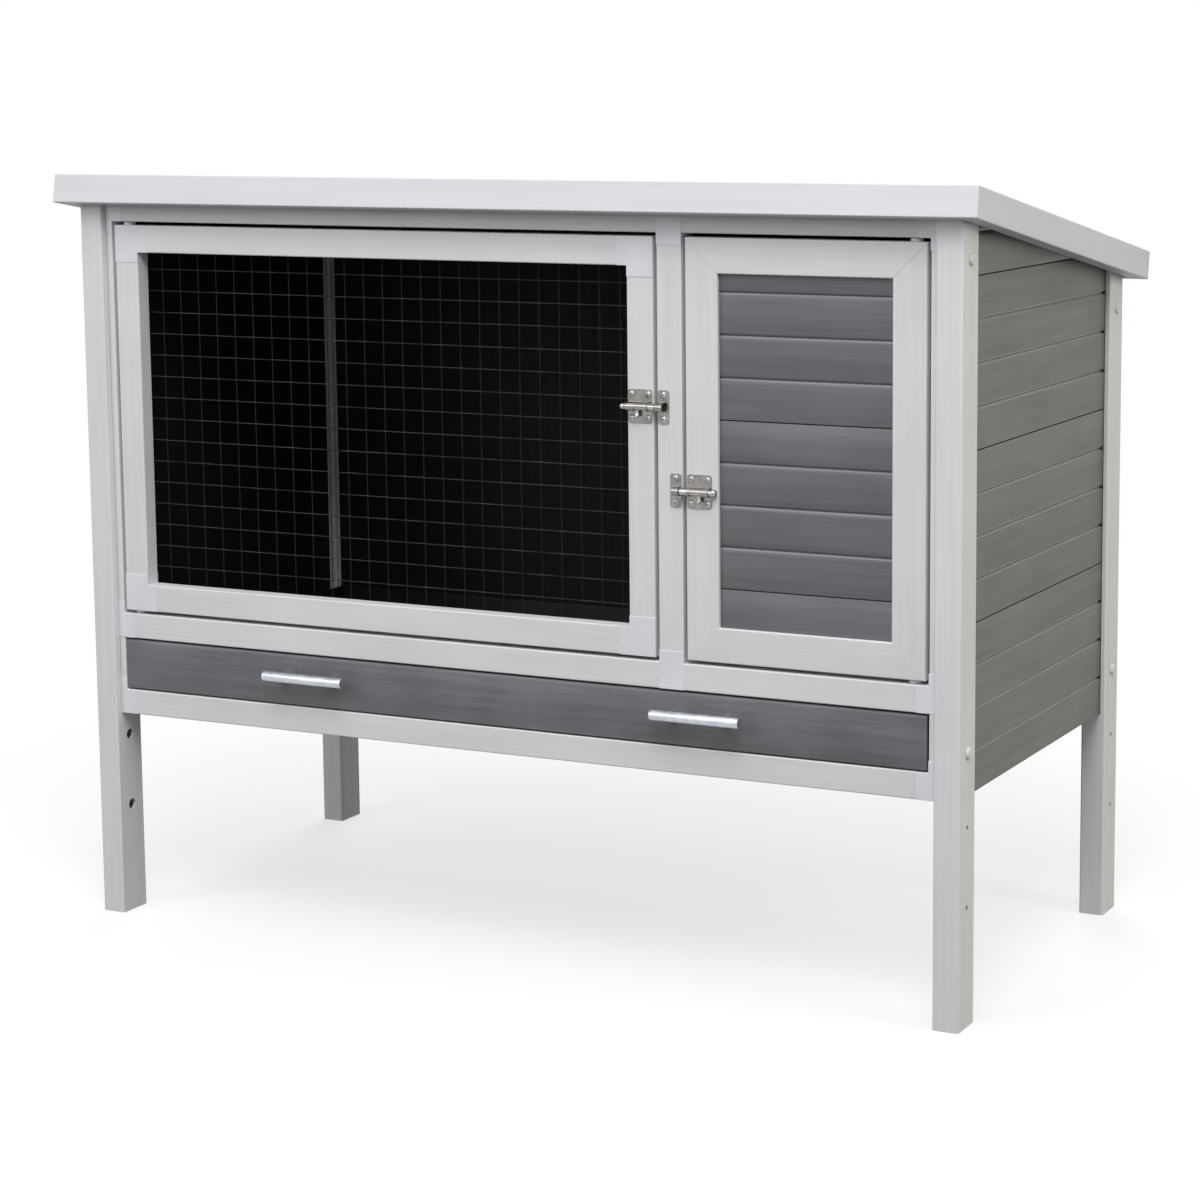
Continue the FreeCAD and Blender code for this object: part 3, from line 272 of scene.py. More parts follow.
# a CAD node's loose triangles merged into one clean skin with flat faces joined, its edges rounded
def softened(name, node, edge, segments=3):
    mesh = nodes[node].data.copy()
    mesh.name = name
    if "custom_normal" in mesh.attributes:
        mesh.attributes.remove(mesh.attributes["custom_normal"])
    work = bmesh.new()
    work.from_mesh(mesh)
    bmesh.ops.remove_doubles(work, verts=work.verts, dist=cadWeld)
    bmesh.ops.dissolve_limit(work, angle_limit=math.radians(flatTurn), verts=work.verts, edges=work.edges)
    work.to_mesh(mesh)
    work.free()
    mesh.materials.clear()
    return rounded(cleaned(name, mesh, sharpTurn, cadWeld), edge, segments, above=40)


# gives a piece its finish, its body and the CAD nodes that it stands for
def place(piece, body, slot, materials, *stoodFor):
    for material in materials:
        piece.data.materials.append(material)
    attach(piece, body)
    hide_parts(*stoodFor)
    return piece


# lowest and highest corner of each solid in a CAD node
def solidBoxes(node):
    work = bmesh.new()
    work.from_mesh(nodes[node].data)
    bmesh.ops.remove_doubles(work, verts=work.verts, dist=cadWeld)
    boxes, seen = [], set()
    for seed in work.verts:
        if seed in seen:
            continue
        group, front = [], [seed]
        seen.add(seed)
        while front:
            vertex = front.pop()
            group.append(vertex.co.copy())
            fresh = [e.other_vert(vertex) for e in vertex.link_edges if e.other_vert(vertex) not in seen]
            seen.update(fresh)
            front += fresh
        spots = np.array(group)
        boxes.append((spots.min(0), spots.max(0)))
    work.free()
    return boxes


# A turned form: distances along an axis against radii, carried once round that axis.
def turned(centre, along, outline, sides=48):
    outline = np.array(outline, float)
    angle = np.linspace(0, 2 * np.pi, sides, endpoint=False)
    axis = np.eye(3)["XYZ".index(along)]
    across, upright = np.roll(axis, 1), np.roll(axis, 2)
    ring = np.cos(angle)[:, None] * across + np.sin(angle)[:, None] * upright
    return np.array(centre, float) + outline[:, None, :1] * axis + outline[:, None, 1:] * ring[None]


# Rounded rectangle about the origin: each corner is a quarter circle of the given radius.
def roundedOutline(width, height, radius, steps=4):
    quarter = np.linspace(0, np.pi / 2, steps + 1)
    points = []
    for k, (sx, sy) in enumerate(((1, 1), (-1, 1), (-1, -1), (1, -1))):
        angle = quarter + k * np.pi / 2
        points.append(np.stack([sx * (width / 2 - radius) + radius * np.cos(angle),
                                sy * (height / 2 - radius) + radius * np.sin(angle)], -1))
    return np.concatenate(points)


# A bar: an outline carried straight from a start to an end, its ends rounded off in a few rows.
def straightBar(start, end, across, upright, outline, soften=0.0):
    start, end = np.array(start, float), np.array(end, float)
    across, upright = np.array(across, float), np.array(upright, float)
    way = (end - start) / np.linalg.norm(end - start)
    turn = np.linspace(0, np.pi / 2, 4)
    shrink = soften * (1 - np.sin(turn))
    inward = soften * (1 - np.cos(turn))
    reach = np.abs(outline).max(0)
    rows = []
    for base, direction, order in ((start, way, slice(None)), (end, -way, slice(None, None, -1))):
        scaled = outline[None] * (1 - shrink[order, None, None] / reach)
        rows.append(base + direction * inward[order, None, None]
                    + scaled[..., :1] * across + scaled[..., 1:] * upright)
    return np.concatenate(rows)


# Corners of an outline eased: each is swapped for three points of a curve that starts and ends
# the given reach from it.
def easedOutline(points, corners, reach):
    points = np.array(points, float)
    eased = []
    for i, corner in enumerate(points):
        if i not in corners:
            eased.append(corner)
            continue
        before, after = points[i - 1], points[(i + 1) % len(points)]
        first = corner + (before - corner) / np.linalg.norm(before - corner) * reach
        last = corner + (after - corner) / np.linalg.norm(after - corner) * reach
        eased += [first, first / 4 + corner / 2 + last / 4, last]
    return np.array(eased)


# The boards, in millimetres: joint is the easing of a panel's edges and gap the space between two
# panels' faces; apart keeps stacked panels' meshes from merging into one.
board = {"thick": 12.0, "pitch": 45.9, "inPanel": 4, "groove": 2.4, "slope": 5.5, "joint": 0.7, "gap": 1.0,
         "tongue": 4.0, "slack": 0.3, "apart": 0.02}
# near the posts a side wall's grooves are cut deeper, and the faces cut there take the near-black painted shade
relief = {"from": 14.0, "step": 0.2, "deep": 3.0, "apex": 1.0}


# Outline of a tongue-and-groove panel: depth behind its outer face, height above its lower edge.
# Its face is moulded as a number of boards. Above each moulded groove it has a chamfer; below it
# the face comes back out by a cube of the height that is left. Its strips are numbered 0 for the
# face, 1 for what is hidden, 2 for the steep part of that shoulder and 3 for the chamfers. Where
# its upper edge has a shoulder, it has one in place of the easing.
def panelOutline(thick, pitch, count, edge, gap=0.0, shoulder=False):
    half, side = thick / 2, board["tongue"] / 2
    grooveTop, top = board["tongue"] + board["slack"], pitch * count
    near, far, apart = half - side, half + side, board["apart"]
    points = [(edge, gap), (near - board["slack"], gap), (near - board["slack"], grooveTop),
              (far + board["slack"], grooveTop), (far + board["slack"], apart), (thick, apart), (thick, top),
              (far, top), (far, top + board["tongue"]), (near, top + board["tongue"]), (near, top)]
    strips = [1] * len(points)
    chamfer, fall = (-0.2, 0.15, 0.9), np.array([0, 0.1, 0.22, 0.38, 0.6, 1.0])
    shoulders = [top] if shoulder else []
    if not shoulder:
        points += [(edge, top), (edge * 0.3, top - edge * 0.3), (0, top - edge)]
        strips += [0, 0, 0]
    shoulders += [pitch * i for i in range(count - 1, 0, -1)]
    for z in shoulders:
        if z < top:
            points += [(board["groove"] * max(u, 0), z + board["groove"] * (1 - u)) for u in chamfer]
            strips += [3, 3, 3]
        points += [(board["groove"] * (1 - u) ** 3, z - board["slope"] * u) for u in fall]
        strips += [2, 2, 2, 0, 0, 0]
    points += [(0, gap + edge), (edge * 0.3, gap + edge * 0.3)]
    return np.array(points) * mm, np.array(strips + [0, 0])


# One panel: its outline carried straight from one end to the other.
def panelGrid(outline, ends, low, toSpace):
    along, depth, height = np.broadcast_arrays(np.array(ends)[:, None], outline[None, :, 0],
                                               low + outline[None, :, 1])
    return np.stack(toSpace(along, depth, height), -1)


# a piece sawn off along a plane: what lies on the plane's outer side goes and the cut is closed
def sawn(piece, through, outward):
    work = bmesh.new()
    work.from_mesh(piece.data)
    bmesh.ops.bisect_plane(work, geom=[*work.verts, *work.edges, *work.faces], dist=drawnWeld,
                           plane_co=through, plane_no=outward, clear_outer=True)
    fresh = bmesh.ops.holes_fill(work, edges=[edge for edge in work.edges if edge.is_boundary])["faces"]
    for face in fresh:
        # the closed cut takes the near-black painted shade
        face.material_index, face.smooth = 1, True
    bmesh.ops.recalc_face_normals(work, faces=work.faces)
    work.to_mesh(piece.data)
    work.free()
    piece.data.set_sharp_from_angle(angle=math.radians(sharpTurn))
    return piece


outline, strips = panelOutline(board["thick"], board["pitch"], board["inPanel"], board["joint"], board["gap"])
pitch, tongue = board["pitch"] * board["inPanel"] * mm, board["tongue"] * mm

for side, sign in (("left", -1), ("right", 1)):     # side walls, sawn to the roof's slope
    low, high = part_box("side_boards_" + side)
    outer = max(abs(low[0]), abs(high[0]))
    inner = np.array([relief["from"], relief["from"] + relief["step"]]) * mm
    stations = [low[1], *(low[1] + inner), *(high[1] - inner[::-1]), high[1]]
    grids = [panelGrid(outline, stations, z, lambda y, d, z: (sign * (outer - d), y, z))
             for z in np.arange(low[2], high[2] - tongue, pitch)]
    apex = (strips >= 2) & (outline[:, 0] > relief["apex"] * mm)
    for grid in grids:                              # the two stations at either end are the cut ones
        grid[np.ix_([0, 1, 4, 5], apex, [0])] -= sign * relief["deep"] * mm
    wall = sawn(pieceFrom("sideWall" + side.capitalize(), grids, strips, 1), (0, low[1], high[2]),
                (0, math.tan(roofTurn), 1))
    count = len(wall.data.polygons)                 # a face deeper than the groove takes the near-black painted shade
    middles, index = np.empty(count * 3), np.empty(count, int)
    wall.data.polygons.foreach_get("center", middles)
    wall.data.polygons.foreach_get("material_index", index)
    index[abs(middles[::3]) < outer - board["groove"] * mm] = 1
    wall.data.polygons.foreach_set("material_index", index)
    # the shoulders and chamfers take the painted highlight; the inside and the deep faces take the painted shade
    place(wall, "cabinet", "board", [sideWood, boardPaintedShade, sideGrooveHighlight, sideGrooveHighlight], "side_boards_" + side)

# the nest door's lowest panel has been ripped down to one board
low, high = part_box("nest_door_boards")
ripped, rippedStrips = panelOutline(board["thick"], board["pitch"], 1, board["joint"], board["gap"])
bottoms = low[2] + np.array([0, board["pitch"] * mm, board["pitch"] * mm + pitch])
grids = [panelGrid(shape, [low[0], high[0]], bottom, lambda x, d, z: (x, low[1] + d, z))
         for shape, bottom in zip((ripped, outline, outline), bottoms)]
panel = sawn(pieceFrom("nestDoorPanel", grids, [rippedStrips, strips, strips], 1), (0, 0, high[2]), (0, 0, 1))
# the shoulders take the painted highlight and the inside the painted shade
place(panel, "nest_door", "board", [boardWood, boardPaintedShade, grooveHighlight, boardWood], "nest_door_boards")

# back wall: its seams stand as high as the side walls' seams, so it is sawn off at both edges
low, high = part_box("back_boards")
grids = [panelGrid(outline, [low[0], high[0]], z, lambda x, d, z: (x, high[1] - d, z))
         for z in np.arange(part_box("side_boards_left")[0][2], high[2] - tongue, pitch)]
wall = sawn(pieceFrom("backWall", grids, strips, 1), (0, 0, high[2]), (0, 0, 1))
# the shoulders take the painted highlight and the inside the painted shade
place(sawn(wall, (0, 0, low[2]), (0, 0, -1)), "cabinet", "board",
      [boardWood, boardPaintedShade, grooveHighlight, boardWood], "back_boards")

# Roof boards, drawn flat, turned to the roof's pitch and moved behind the front roof rail, which is
# a lip thick and a rail deep.
roof = {"thick": 14.0, "count": 12, "lip": 12.0, "rail": 34.0}
low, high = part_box("roof_boards")
turn = np.array(Matrix.Rotation(-roofTurn, 3, "X"))
roofStart = np.array([0, low[1], high[2]]) - turn @ np.array([0, roof["lip"], 0]) * mm
roofStart[1] -= (turn @ np.array([0, 0, roof["rail"] - roof["thick"]]))[1] * mm
roofStart[2] -= (turn @ np.array([0, 0, roof["rail"]]))[2] * mm
length = (high[1] - low[1]) / math.cos(roofTurn) - roof["thick"] * mm * math.tan(roofTurn)
width = (high[0] - low[0]) / roof["count"]
outline, strips = panelOutline(roof["thick"], width / mm, 1, board["groove"], shoulder=True)
grids = []
for i in range(roof["count"]):
    grid = panelGrid(outline, [roof["lip"] * mm, roof["lip"] * mm + length], low[0] + i * width,
                     lambda s, d, x: (np.minimum(x, high[0]), s, roof["rail"] * mm - d))
    grids.append(grid @ turn.T + roofStart)
# the roof boards' underside takes the near-black painted shade
place(pieceFrom("roofDeck", grids, strips, 1), "cabinet", "board", [roofWood, boardPaintedShade, roofWood], "roof_boards")
print("boards made")


# The drawer's front: a thin plank with eased edges and a bevel along its upper edge.
drawerFace = {"bevel": 2.0, "ease": 0.7, "ends": 0.6}
low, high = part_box("drawer_front")
bevel = drawerFace["bevel"] * mm
outline = easedOutline([(low[1], low[2]), (high[1], low[2]), (high[1], high[2]),
                        (low[1] + bevel, high[2]), (low[1], high[2] - bevel)],
                       range(5), drawerFace["ease"] * mm)
stations = np.array([low[0], high[0]])
grid = np.stack(np.broadcast_arrays(stations[:, None], outline[None, :, 0], outline[None, :, 1]), -1)
front = rounded(pieceFrom("drawerFront", [grid]), drawerFace["ends"], segments=2, above=60)
place(front, "drawer", "board", [drawerWood], "drawer_front")


# Handles: a turned bar with rounded ends on two plain turned posts.
handle = {"bar": 6.0, "round": 1.6, "post": 4.5, "spacing": 64.0}
for side in ("left", "right"):
    low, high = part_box("drawer_handle_" + side)
    r, c = handle["bar"], handle["round"]
    half = (high[0] - low[0]) / 2 / mm
    middle = np.array([(low[0] + high[0]) / 2, low[1] + r * mm, (low[2] + high[2]) / 2])
    turnIn = np.linspace(0, np.pi / 2, 6)
    bar = np.stack([-half + c * (1 - np.sin(turnIn)), r - c * (1 - np.cos(turnIn))], -1)[::-1]
    bar = np.concatenate([[(-half, 0)], bar, bar[::-1] * (-1, 1), [(half, 0)]])
    reach = (high[1] - middle[1]) / mm
    post = [(0, 0), (0, handle["post"]), (reach, handle["post"]), (reach, 0)]
    grids = [turned(middle, "X", bar * mm)]
    for dx in (-handle["spacing"] / 2, handle["spacing"] / 2):
        grids.append(turned(middle + [dx * mm, 0, 0], "Y", np.array(post) * mm, sides=32))
    place(pieceFrom("drawerHandle" + side.capitalize(), grids), "drawer", "handle", [handleSatin],
          "drawer_handle_" + side)


# Bolt caps, hollow behind for the bolt's head. In side view a short straight skirt turns in by a
# quarter of an ellipse to a flat part of a given radius, which is crowned by a little.
cap = {"head": 5.2, "headDeep": 2.1, "rim": 6.6, "ease": 0.3, "skirt": 1.0, "flat": 4.2, "high": 3.2,
       "crown": [(0.12, 2.0), (0.16, 0)]}
grids = []
turnIn = np.linspace(0, np.pi / 2, 7)
dome = np.stack([cap["skirt"] + (cap["high"] - cap["skirt"]) * np.sin(turnIn),
                 cap["flat"] + (cap["rim"] - cap["flat"]) * np.cos(turnIn)], -1)
profile = np.concatenate([[(cap["headDeep"], 0), (cap["headDeep"], cap["head"]), (0, cap["head"]),
                           (0, cap["rim"] - cap["ease"]), (cap["ease"], cap["rim"])], dome,
                          np.array(cap["crown"]) + (cap["high"], 0)])
for low, high in solidBoxes("bolt_caps"):
    sign = 1 if high[0] > 0 else -1
    base = low[0] if sign > 0 else high[0]
    centre = [base, (low[1] + high[1]) / 2, (low[2] + high[2]) / 2]
    grids.append(turned(centre, "X", profile * (sign, 1) * mm, sides=36))
place(pieceFrom("boltCaps", grids), "cabinet", "cap", [capPlastic], "bolt_caps")


# Hinge pins: turned, each with a collar whose edges are eased; neck is the pin's length below it.
pin = {"radius": 4.0, "neck": 20.0, "collar": 7.0, "collarLong": 3.6, "ease": 0.4, "tip": 0.6}
for name, body, node in (("wireDoorPins", "wire_door", "wire_door_pivots"),
                         ("nestDoorPins", "nest_door", "nest_door_pivots")):
    grids = []
    r, wide, ease, tip = pin["radius"], pin["collar"], pin["ease"], pin["tip"]
    start, stop = pin["neck"], pin["neck"] + pin["collarLong"]
    boxes = sorted(solidBoxes(node), key=lambda corners: corners[0][2])
    for (low, high), sign in zip(boxes, (-1, 1)):
        centre = [(low[0] + high[0]) / 2, (low[1] + high[1]) / 2, low[2] if sign > 0 else high[2]]
        tall = (high[2] - low[2]) / mm
        profile = [(0, 0), (0, r - ease), (ease, r), (start, r), (start, wide - ease), (start + ease, wide),
                   (stop - ease, wide), (stop, wide - ease), (stop, r), (tall - tip, r), (tall, r - tip), (tall, 0)]
        grids.append(turned(centre, "Z", np.array(profile) * (sign, 1) * mm, sides=40))
    place(pieceFrom(name, grids), body, "cap", [capPlastic], node)
print("fittings made")


# Welded netting. Each wire is a circle carried along a nearly straight line; its coating is thicker
# near a weld by a bell-shaped amount, and the line wanders by a slow sine of its own wavelength.
netting = {"pitch": 25.4, "wire": 0.6, "swell": 0.2, "swellReach": 1.3, "wander": 0.16, "slow": 110.0,
           "slowSpread": 30.0, "behind": 1.12, "sides": 8}


def wire(crossings, low, high, axis, middle, phase):
    radius, swellReach = netting["wire"] * mm, netting["swellReach"] * mm
    offsets = np.append(np.array([-1.6, -0.7, 0, 0.7, 1.6]) * swellReach, netting["pitch"] / 2 * mm)
    stations = np.unique(np.round(np.concatenate([[low, high], (crossings[:, None] + offsets).ravel()]), 6))
    stations = stations[(stations >= low) & (stations <= high)]
    near = np.abs(stations[:, None] - crossings[None, :]).min(1)
    thick = radius * (1 + netting["swell"] * np.exp(-(near / swellReach) ** 2))
    angle = np.linspace(0, 2 * np.pi, netting["sides"], endpoint=False)
    slow = (netting["slow"] + netting["slowSpread"] * np.sin(phase)) * mm
    sway = netting["wander"] * mm * np.sin(stations / slow + phase)
    across = thick[:, None] * np.cos(angle) + sway[:, None]
    depth = thick[:, None] * np.sin(angle) + middle[1]
    along = stations[:, None] + 0 * angle
    if axis == "X":
        return np.stack([along, depth, middle[2] + across], -1)
    return np.stack([middle[0] + across, depth, along], -1)


# wire places between two limits, a pitch apart and counted from the middle
def centred(a, b):
    count = int((b - a) / 2 / (netting["pitch"] * mm))
    return (a + b) / 2 + np.arange(-count, count + 1) * netting["pitch"] * mm


low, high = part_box("wire_mesh")
wireRadius = netting["wire"] * mm
chance = np.random.default_rng(11)
acrossZ = centred(low[2] + wireRadius, high[2] - wireRadius)
uprightX = centred(low[0] + wireRadius, high[0] - wireRadius)
grids = [wire(uprightX, low[0], high[0], "X", (0, low[1] + wireRadius, z), p)
         for z, p in zip(acrossZ, chance.uniform(0, 6.3, len(acrossZ)))]
grids += [wire(acrossZ, low[2], high[2], "Z", (x, high[1] - wireRadius * netting["behind"], 0), p)
          for x, p in zip(uprightX, chance.uniform(0, 6.3, len(uprightX)))]
upper = np.isin(np.arange(netting["sides"]), (6, 7, 0, 1)).astype(int)   # painted highlight here, on a cross wire's upper side
highlightStrips = [upper] * len(acrossZ) + [0] * len(uprightX)
place(pieceFrom("weldedMesh", grids, highlightStrips, smooth=60), "wire_door", "mesh", [wireCoat, wireTopHighlight], "wire_mesh")

# strips that clamp the mesh, flat bars with rounded long edges and softened ends
strip = {"wide": 18.0, "thick": 3.0, "round": 0.8, "ends": 0.4}
low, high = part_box("mesh_strips")
outline = roundedOutline(strip["wide"], strip["thick"], strip["round"]) * mm
y, half = (low[1] + high[1]) / 2, strip["wide"] * mm / 2
ends = strip["ends"] * mm
grids = [straightBar((low[0], y, z), (high[0], y, z), (0, 0, 1), (0, 1, 0), outline, ends)
         for z in (low[2] + half, high[2] - half)]
grids += [straightBar((x, y, low[2] + 2 * half), (x, y, high[2] - 2 * half), (1, 0, 0), (0, 1, 0), outline, ends)
          for x in (low[0] + half, high[0] - half)]
place(pieceFrom("meshStrips", grids), "wire_door", "strip", [railWood["X"]], "mesh_strips")
print("mesh made")


# Pan-head screws. The head is a dome on a polar grid, less a cross-shaped recess whose depth falls
# off evenly over the last stretch at the arms' sides and ends; the shank is a plain turned pin.
screw = {"head": 3.7, "high": 2.2, "bulge": 0.55, "shank": 1.4, "tip": 1.5, "slotHalf": 0.55,
         "sideFall": 0.2, "slotReach": 2.0, "endFall": 0.5, "slotDeep": 1.2}


def screwHead(centre, seat):
    radii = screw["head"] * np.array([1, 0.985, 0.94, 0.86, 0.77, 0.67, 0.59, 0.52, 0.44, 0.36, 0.28, 0.22,
                                      0.16, 0.1, 0.05, 0])
    angle = np.linspace(0, 2 * np.pi, 48, endpoint=False)
    x, z = radii[:, None] * np.cos(angle), radii[:, None] * np.sin(angle)
    dome = screw["high"] * (1 - (radii / screw["head"]) ** 2) ** screw["bulge"]
    arm, reach = np.minimum(abs(x), abs(z)), np.maximum(abs(x), abs(z))
    cut = (np.clip((screw["slotHalf"] - arm) / screw["sideFall"], 0, 1)
           * np.clip((screw["slotReach"] - reach) / screw["endFall"], 0, 1))
    front = dome[:, None] - screw["slotDeep"] * cut
    rows = np.stack([centre[0] + x * mm, seat - front * mm, centre[2] + z * mm], -1)
    back = np.array([centre[0], seat, centre[2]]) + 0 * rows[:1]
    return np.concatenate([back, rows])


for name, body, node in (("upperPlateScrews", "wire_door", "upper_latch_screws"),
                         ("lowerPlateScrews", "nest_door", "lower_latch_screws"),
                         ("keeperScrews", "cabinet", "keeper_screws")):
    grids = []
    for low, high in solidBoxes(node):
        centre = (low + high) / 2
        seat = low[1] + screw["high"] * mm
        grids.append(screwHead(centre, seat))
        long, r = (high[1] - seat) / mm, screw["shank"]
        shank = np.array([(0, 0), (0, r), (long - screw["tip"], r), (long, 0)])
        grids.append(turned((centre[0], seat, centre[2]), "Y", shank * mm, sides=12))
    place(pieceFrom(name, grids, smooth=40), body, "screw", [screwNickel], node)

# Bolt rods: turned, with a domed knob, a neck behind it and a chamfered tip; the tab that slides
# the rod is a bent strip that starts inside it, an L in side view carried across its width.
rod = {"radius": 4.0, "neck": 3.5, "knobEnd": 6.6, "neckFrom": 7.0, "neckTo": 8.2, "bodyFrom": 8.6,
       "tip": [(0.8, 0), (0.2, 0.6), (0, 1.2)], "tabFromTip": 23.0, "tabWide": 4.0, "tabThick": 1.6,
       "tabLong": 11.5, "tabLip": 3.2, "tabEase": 0.6, "tabSink": 1.0}
for name, body, node, way in (("upperBoltRod", "upper_bolt", "upper_bolt_rod", 1),
                              ("lowerBoltRod", "lower_bolt", "lower_bolt_rod", -1)):
    low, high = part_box(node)
    r = rod["radius"]
    tail, tip = (low[0], high[0]) if way > 0 else (high[0], low[0])
    centre = np.array([tail, high[1] - r * mm, high[2] - r * mm])
    long = (high[0] - low[0]) / mm
    swing = np.linspace(0, np.pi / 2, 9)
    knob = np.stack([r - r * np.cos(swing), r * np.sin(swing)], -1)
    neck = [(rod["knobEnd"], r), (rod["neckFrom"], rod["neck"]), (rod["neckTo"], rod["neck"]), (rod["bodyFrom"], r)]
    profile = np.concatenate([knob, neck, np.array([long, r]) - rod["tip"], [(long, 0)]])
    grids = [turned(centre, "X", profile * (way, 1) * mm, sides=40)]
    tabMiddle = tip - way * rod["tabFromTip"] * mm
    t, tall, lip, sink = rod["tabThick"], rod["tabLong"], rod["tabLip"], rod["tabSink"]
    side = easedOutline([(t / 2, -sink), (t / 2, -tall), (-lip, -tall), (-lip, t - tall), (-t / 2, t - tall),
                         (-t / 2, -sink)], (1, 2, 3, 4), rod["tabEase"]) * mm
    xs = tabMiddle + np.array([-0.5, -0.44, 0.44, 0.5]) * rod["tabWide"] * mm
    shrink = np.array([0.9, 1, 1, 0.9])[:, None]
    middle = side.mean(0)
    ys = centre[1] + middle[0] + (side[None, :, 0] - middle[0]) * shrink
    zs = centre[2] + middle[1] + (side[None, :, 1] - middle[1]) * shrink
    grids.append(np.stack(np.broadcast_arrays(xs[:, None], ys, zs), -1))
    place(pieceFrom(name, grids), body, "latch", [rodNickel], node)
print("bolts made")

# pieces whose CAD shape is right but sharp: the same skin with its edges rounded, in millimetres
softer = {"connectorCorners": ("frame_corners", "cabinet", "connector", railAbs, 0.8),
          "connectorTees": ("frame_tees", "cabinet", "connector", railAbs, 0.8),
          "wireDoorCorners": ("wire_door_corners", "wire_door", "connector", railAbs, 0.9),
          "upperLatchPlate": ("upper_latch_plate", "wire_door", "latch", plateNickel, 0.22),
          "lowerLatchPlate": ("lower_latch_plate", "nest_door", "latch", plateNickel, 0.22),
          "boltKeepers": ("bolt_keepers", "cabinet", "latch", plateNickel, 0.22),
          "nestHingeStile": ("nest_door_stile_hinge", "nest_door", "frame", railWood["Z"], 0.5),
          "nestLatchStile": ("nest_door_stile_latch", "nest_door", "frame", railWood["Z"], 0.5),
          "nestTopRail": ("nest_door_rail_top", "nest_door", "frame", railWood["X"], 0.5),
          "nestBottomRail": ("nest_door_rail_bottom", "nest_door", "frame", railWood["X"], 0.5),
          # the partition takes the near-black painted shade of the hutch's inside
          "runPartition": ("partition", "cabinet", "board", boardPaintedShade, 1.0),
          "drawerTray": ("drawer_tray", "drawer", "tray", trayPlastic, 0.8),
          "trayBearers": ("tray_bearers", "cabinet", "runner", trayPlastic, 1.0),
          "runnerLeft": ("drawer_runner_left", "cabinet", "runner", trayPlastic, 0.8),
          "runnerRight": ("drawer_runner_right", "cabinet", "runner", trayPlastic, 0.8),
          "footPlugs": ("foot_plugs", "cabinet", "foot", footRubber, 0.8)}
for name, (node, body, slot, material, edge) in softer.items():
    place(softened(name, node, edge), body, slot, [material], node)
print("softened pieces made")

# CAD pieces that stay as they are take the finish whose grain runs their way
kept = [(railWood["X"], "top_rail_left top_rail_right mid_rail_left mid_rail_right bottom_rail back_rail_top "
                        "back_rail_bottom wire_door_rail_top wire_door_rail_bottom"),
        (railWood["Z"], "post_front_left post_front_right post_back_left post_back_right front_stile_left "
                        "front_stile_right mullion back_stile_left back_stile_right back_mullion "
                        "wire_door_stile_hinge wire_door_stile_latch"),
        (trimWood["X"], "roof_rail_front roof_rail_back"),
        (trimWood["Y"], "roof_rail_left roof_rail_right"),
        (boltZinc, "frame_bolts")]
for finish, names in kept:
    for name in names.split():
        nodes[name].material_slots[0].material = finish
print("finishes given to the CAD pieces")


# Floor: pale, plain and far larger than the view. Seen directly or in a reflection it is almost
# white and fades to plain white with distance; the light that it sends back up is that of a grey floor.
studio = {"floor": "#f9f9f9", "bounce": "#606060", "reach": 30.0, "near": 0.62, "fadeFrom": 0.9, "fadeTo": 2.2,
          "around": 0.4}


# 1 where a ray comes from the camera, off a gloss or through glass, and 0 for the rest
def seenDirectly(tree):
    path = addNode(tree, "ShaderNodeLightPath").outputs
    seen = addNode(tree, "ShaderNodeMath", {0: path["Is Camera Ray"], 1: path["Is Glossy Ray"]},
                   operation="MAXIMUM")
    return addNode(tree, "ShaderNodeMath", {0: seen, 1: path["Is Transmission Ray"]}, operation="MAXIMUM")


tree, shader = newMaterial("studioFloor", Roughness=0.9, Specular_IOR_Level=0.1)
spot = addNode(tree, "ShaderNodeTexCoord").outputs["Object"]
away = addNode(tree, "ShaderNodeVectorMath", {0: spot}, operation="LENGTH").outputs["Value"]
fade = addNode(tree, "ShaderNodeMapRange", {0: away, 1: studio["fadeFrom"], 2: studio["fadeTo"],
                                            3: studio["near"], 4: 1.0})
seen = seenDirectly(tree)
amount = addNode(tree, "ShaderNodeMath", {0: fade, 1: seen}, operation="MULTIPLY")
paint = addNode(tree, "ShaderNodeMix", {0: seen, 6: linear(studio["bounce"]), 7: linear(studio["floor"])},
                data_type="RGBA")
tree.links.new(paint.outputs[2], shader.inputs["Base Color"])
white = addNode(tree, "ShaderNodeEmission", {"Color": (1, 1, 1, 1), "Strength": 1.0})
blend = addNode(tree, "ShaderNodeMixShader", {0: amount, 1: shader, 2: white})
tree.links.new(blend.outputs[0], tree.nodes["Material Output"].inputs["Surface"])
size = studio["reach"] / 2
corners = np.array([(-size, -size, 0), (size, -size, 0), (size, size, 0), (-size, size, 0)])
floorMesh = bpy.data.meshes.new("studioFloor")
floorMesh.from_pydata(corners.tolist(), [], [(0, 1, 2, 3)])
floorMesh.materials.append(bpy.data.materials["studioFloor"])
floor = bpy.data.objects.new("studioFloor", floorMesh)
bpy.context.scene.collection.objects.link(floor)

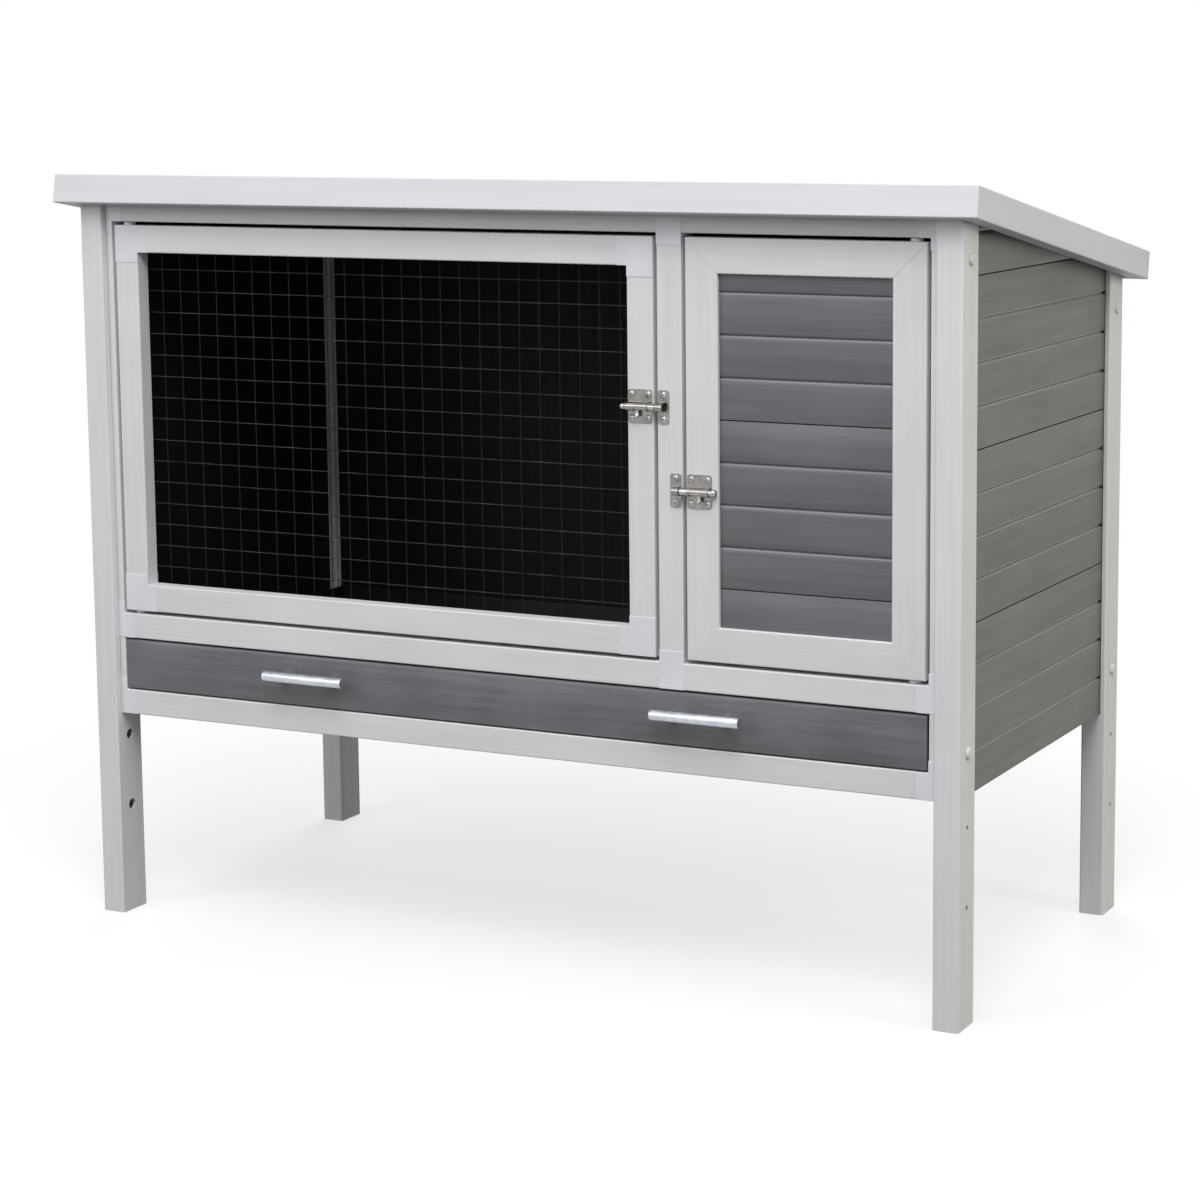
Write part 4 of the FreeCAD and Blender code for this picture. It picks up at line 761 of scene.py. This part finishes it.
world = bpy.data.worlds.new("studioWorld")
world.use_nodes = True
bpy.context.scene.world = world
tree = world.node_tree
tree.nodes["Background"].inputs["Color"].default_value = (1, 1, 1, 1)
strength = addNode(tree, "ShaderNodeMapRange", {0: seenDirectly(tree), 3: studio["around"], 4: 1.0})
tree.links.new(strength.outputs[0], tree.nodes["Background"].inputs["Strength"])

# each lamp's place, aim, width in metres, power in watts and colour
lamps = {"keyLamp": ((1.4, -2.7, 3.6), (0.1, -0.2, 0.5), 2.0, 80, "#fbfbff"),
         "sideLamp": ((3.5, -0.4, 1.9), (0.4, 0.0, 0.5), 1.8, 43, "#f8f5e2"),
         "leftLamp": ((-1.8, -3.2, 2.0), (-0.1, -0.2, 0.4), 2.0, 36, "#fdfcff"),
         "topLamp": ((0.3, -1.5, 3.9), (0.1, -0.2, 0.5), 2.2, 44, "#ffffff"),
         "backLamp": ((-1.2, 3.2, 2.4), (0.0, 0.2, 0.5), 2.4, 60, "#ffffff")}
for name, (spot, aim, width, power, tint) in lamps.items():
    lamp = bpy.data.lights.new(name, "AREA")
    lamp.shape, lamp.size, lamp.energy, lamp.color = "DISK", width, power, linear(tint)[:3]
    holder = bpy.data.objects.new(name, lamp)
    way = Vector(aim) - Vector(spot)
    holder.matrix_world = Matrix.Translation(spot) @ way.to_track_quat("-Z", "Y").to_matrix().to_4x4()
    bpy.context.scene.collection.objects.link(holder)
print("studio made")

# the camera, a metre above the ground and to the right of the front; lens and sensor in millimetres
view = {"lens": 87.24, "sensor": 36, "shift": (-0.1, -0.1), "spot": (1.618, -3.0514, 1.0037), "yaw": 25.68,
        "pitch": -7.88, "roll": -0.288}
camera = bpy.data.cameras.new("hutchCamera")
camera.sensor_width, camera.lens = view["sensor"], view["lens"]
camera.shift_x, camera.shift_y = view["shift"]
eye = bpy.data.objects.new("hutchCamera", camera)
eye.matrix_world = (Matrix.Translation(view["spot"]) @ Matrix.Rotation(math.radians(view["yaw"]), 4, "Z")
                    @ Matrix.Rotation(math.radians(90 + view["pitch"]), 4, "X")
                    @ Matrix.Rotation(math.radians(view["roll"]), 4, "Z"))
bpy.context.scene.collection.objects.link(eye)
bpy.context.scene.camera = eye
bpy.context.scene.view_settings.view_transform = "Standard"

bpy.context.view_layer.update()
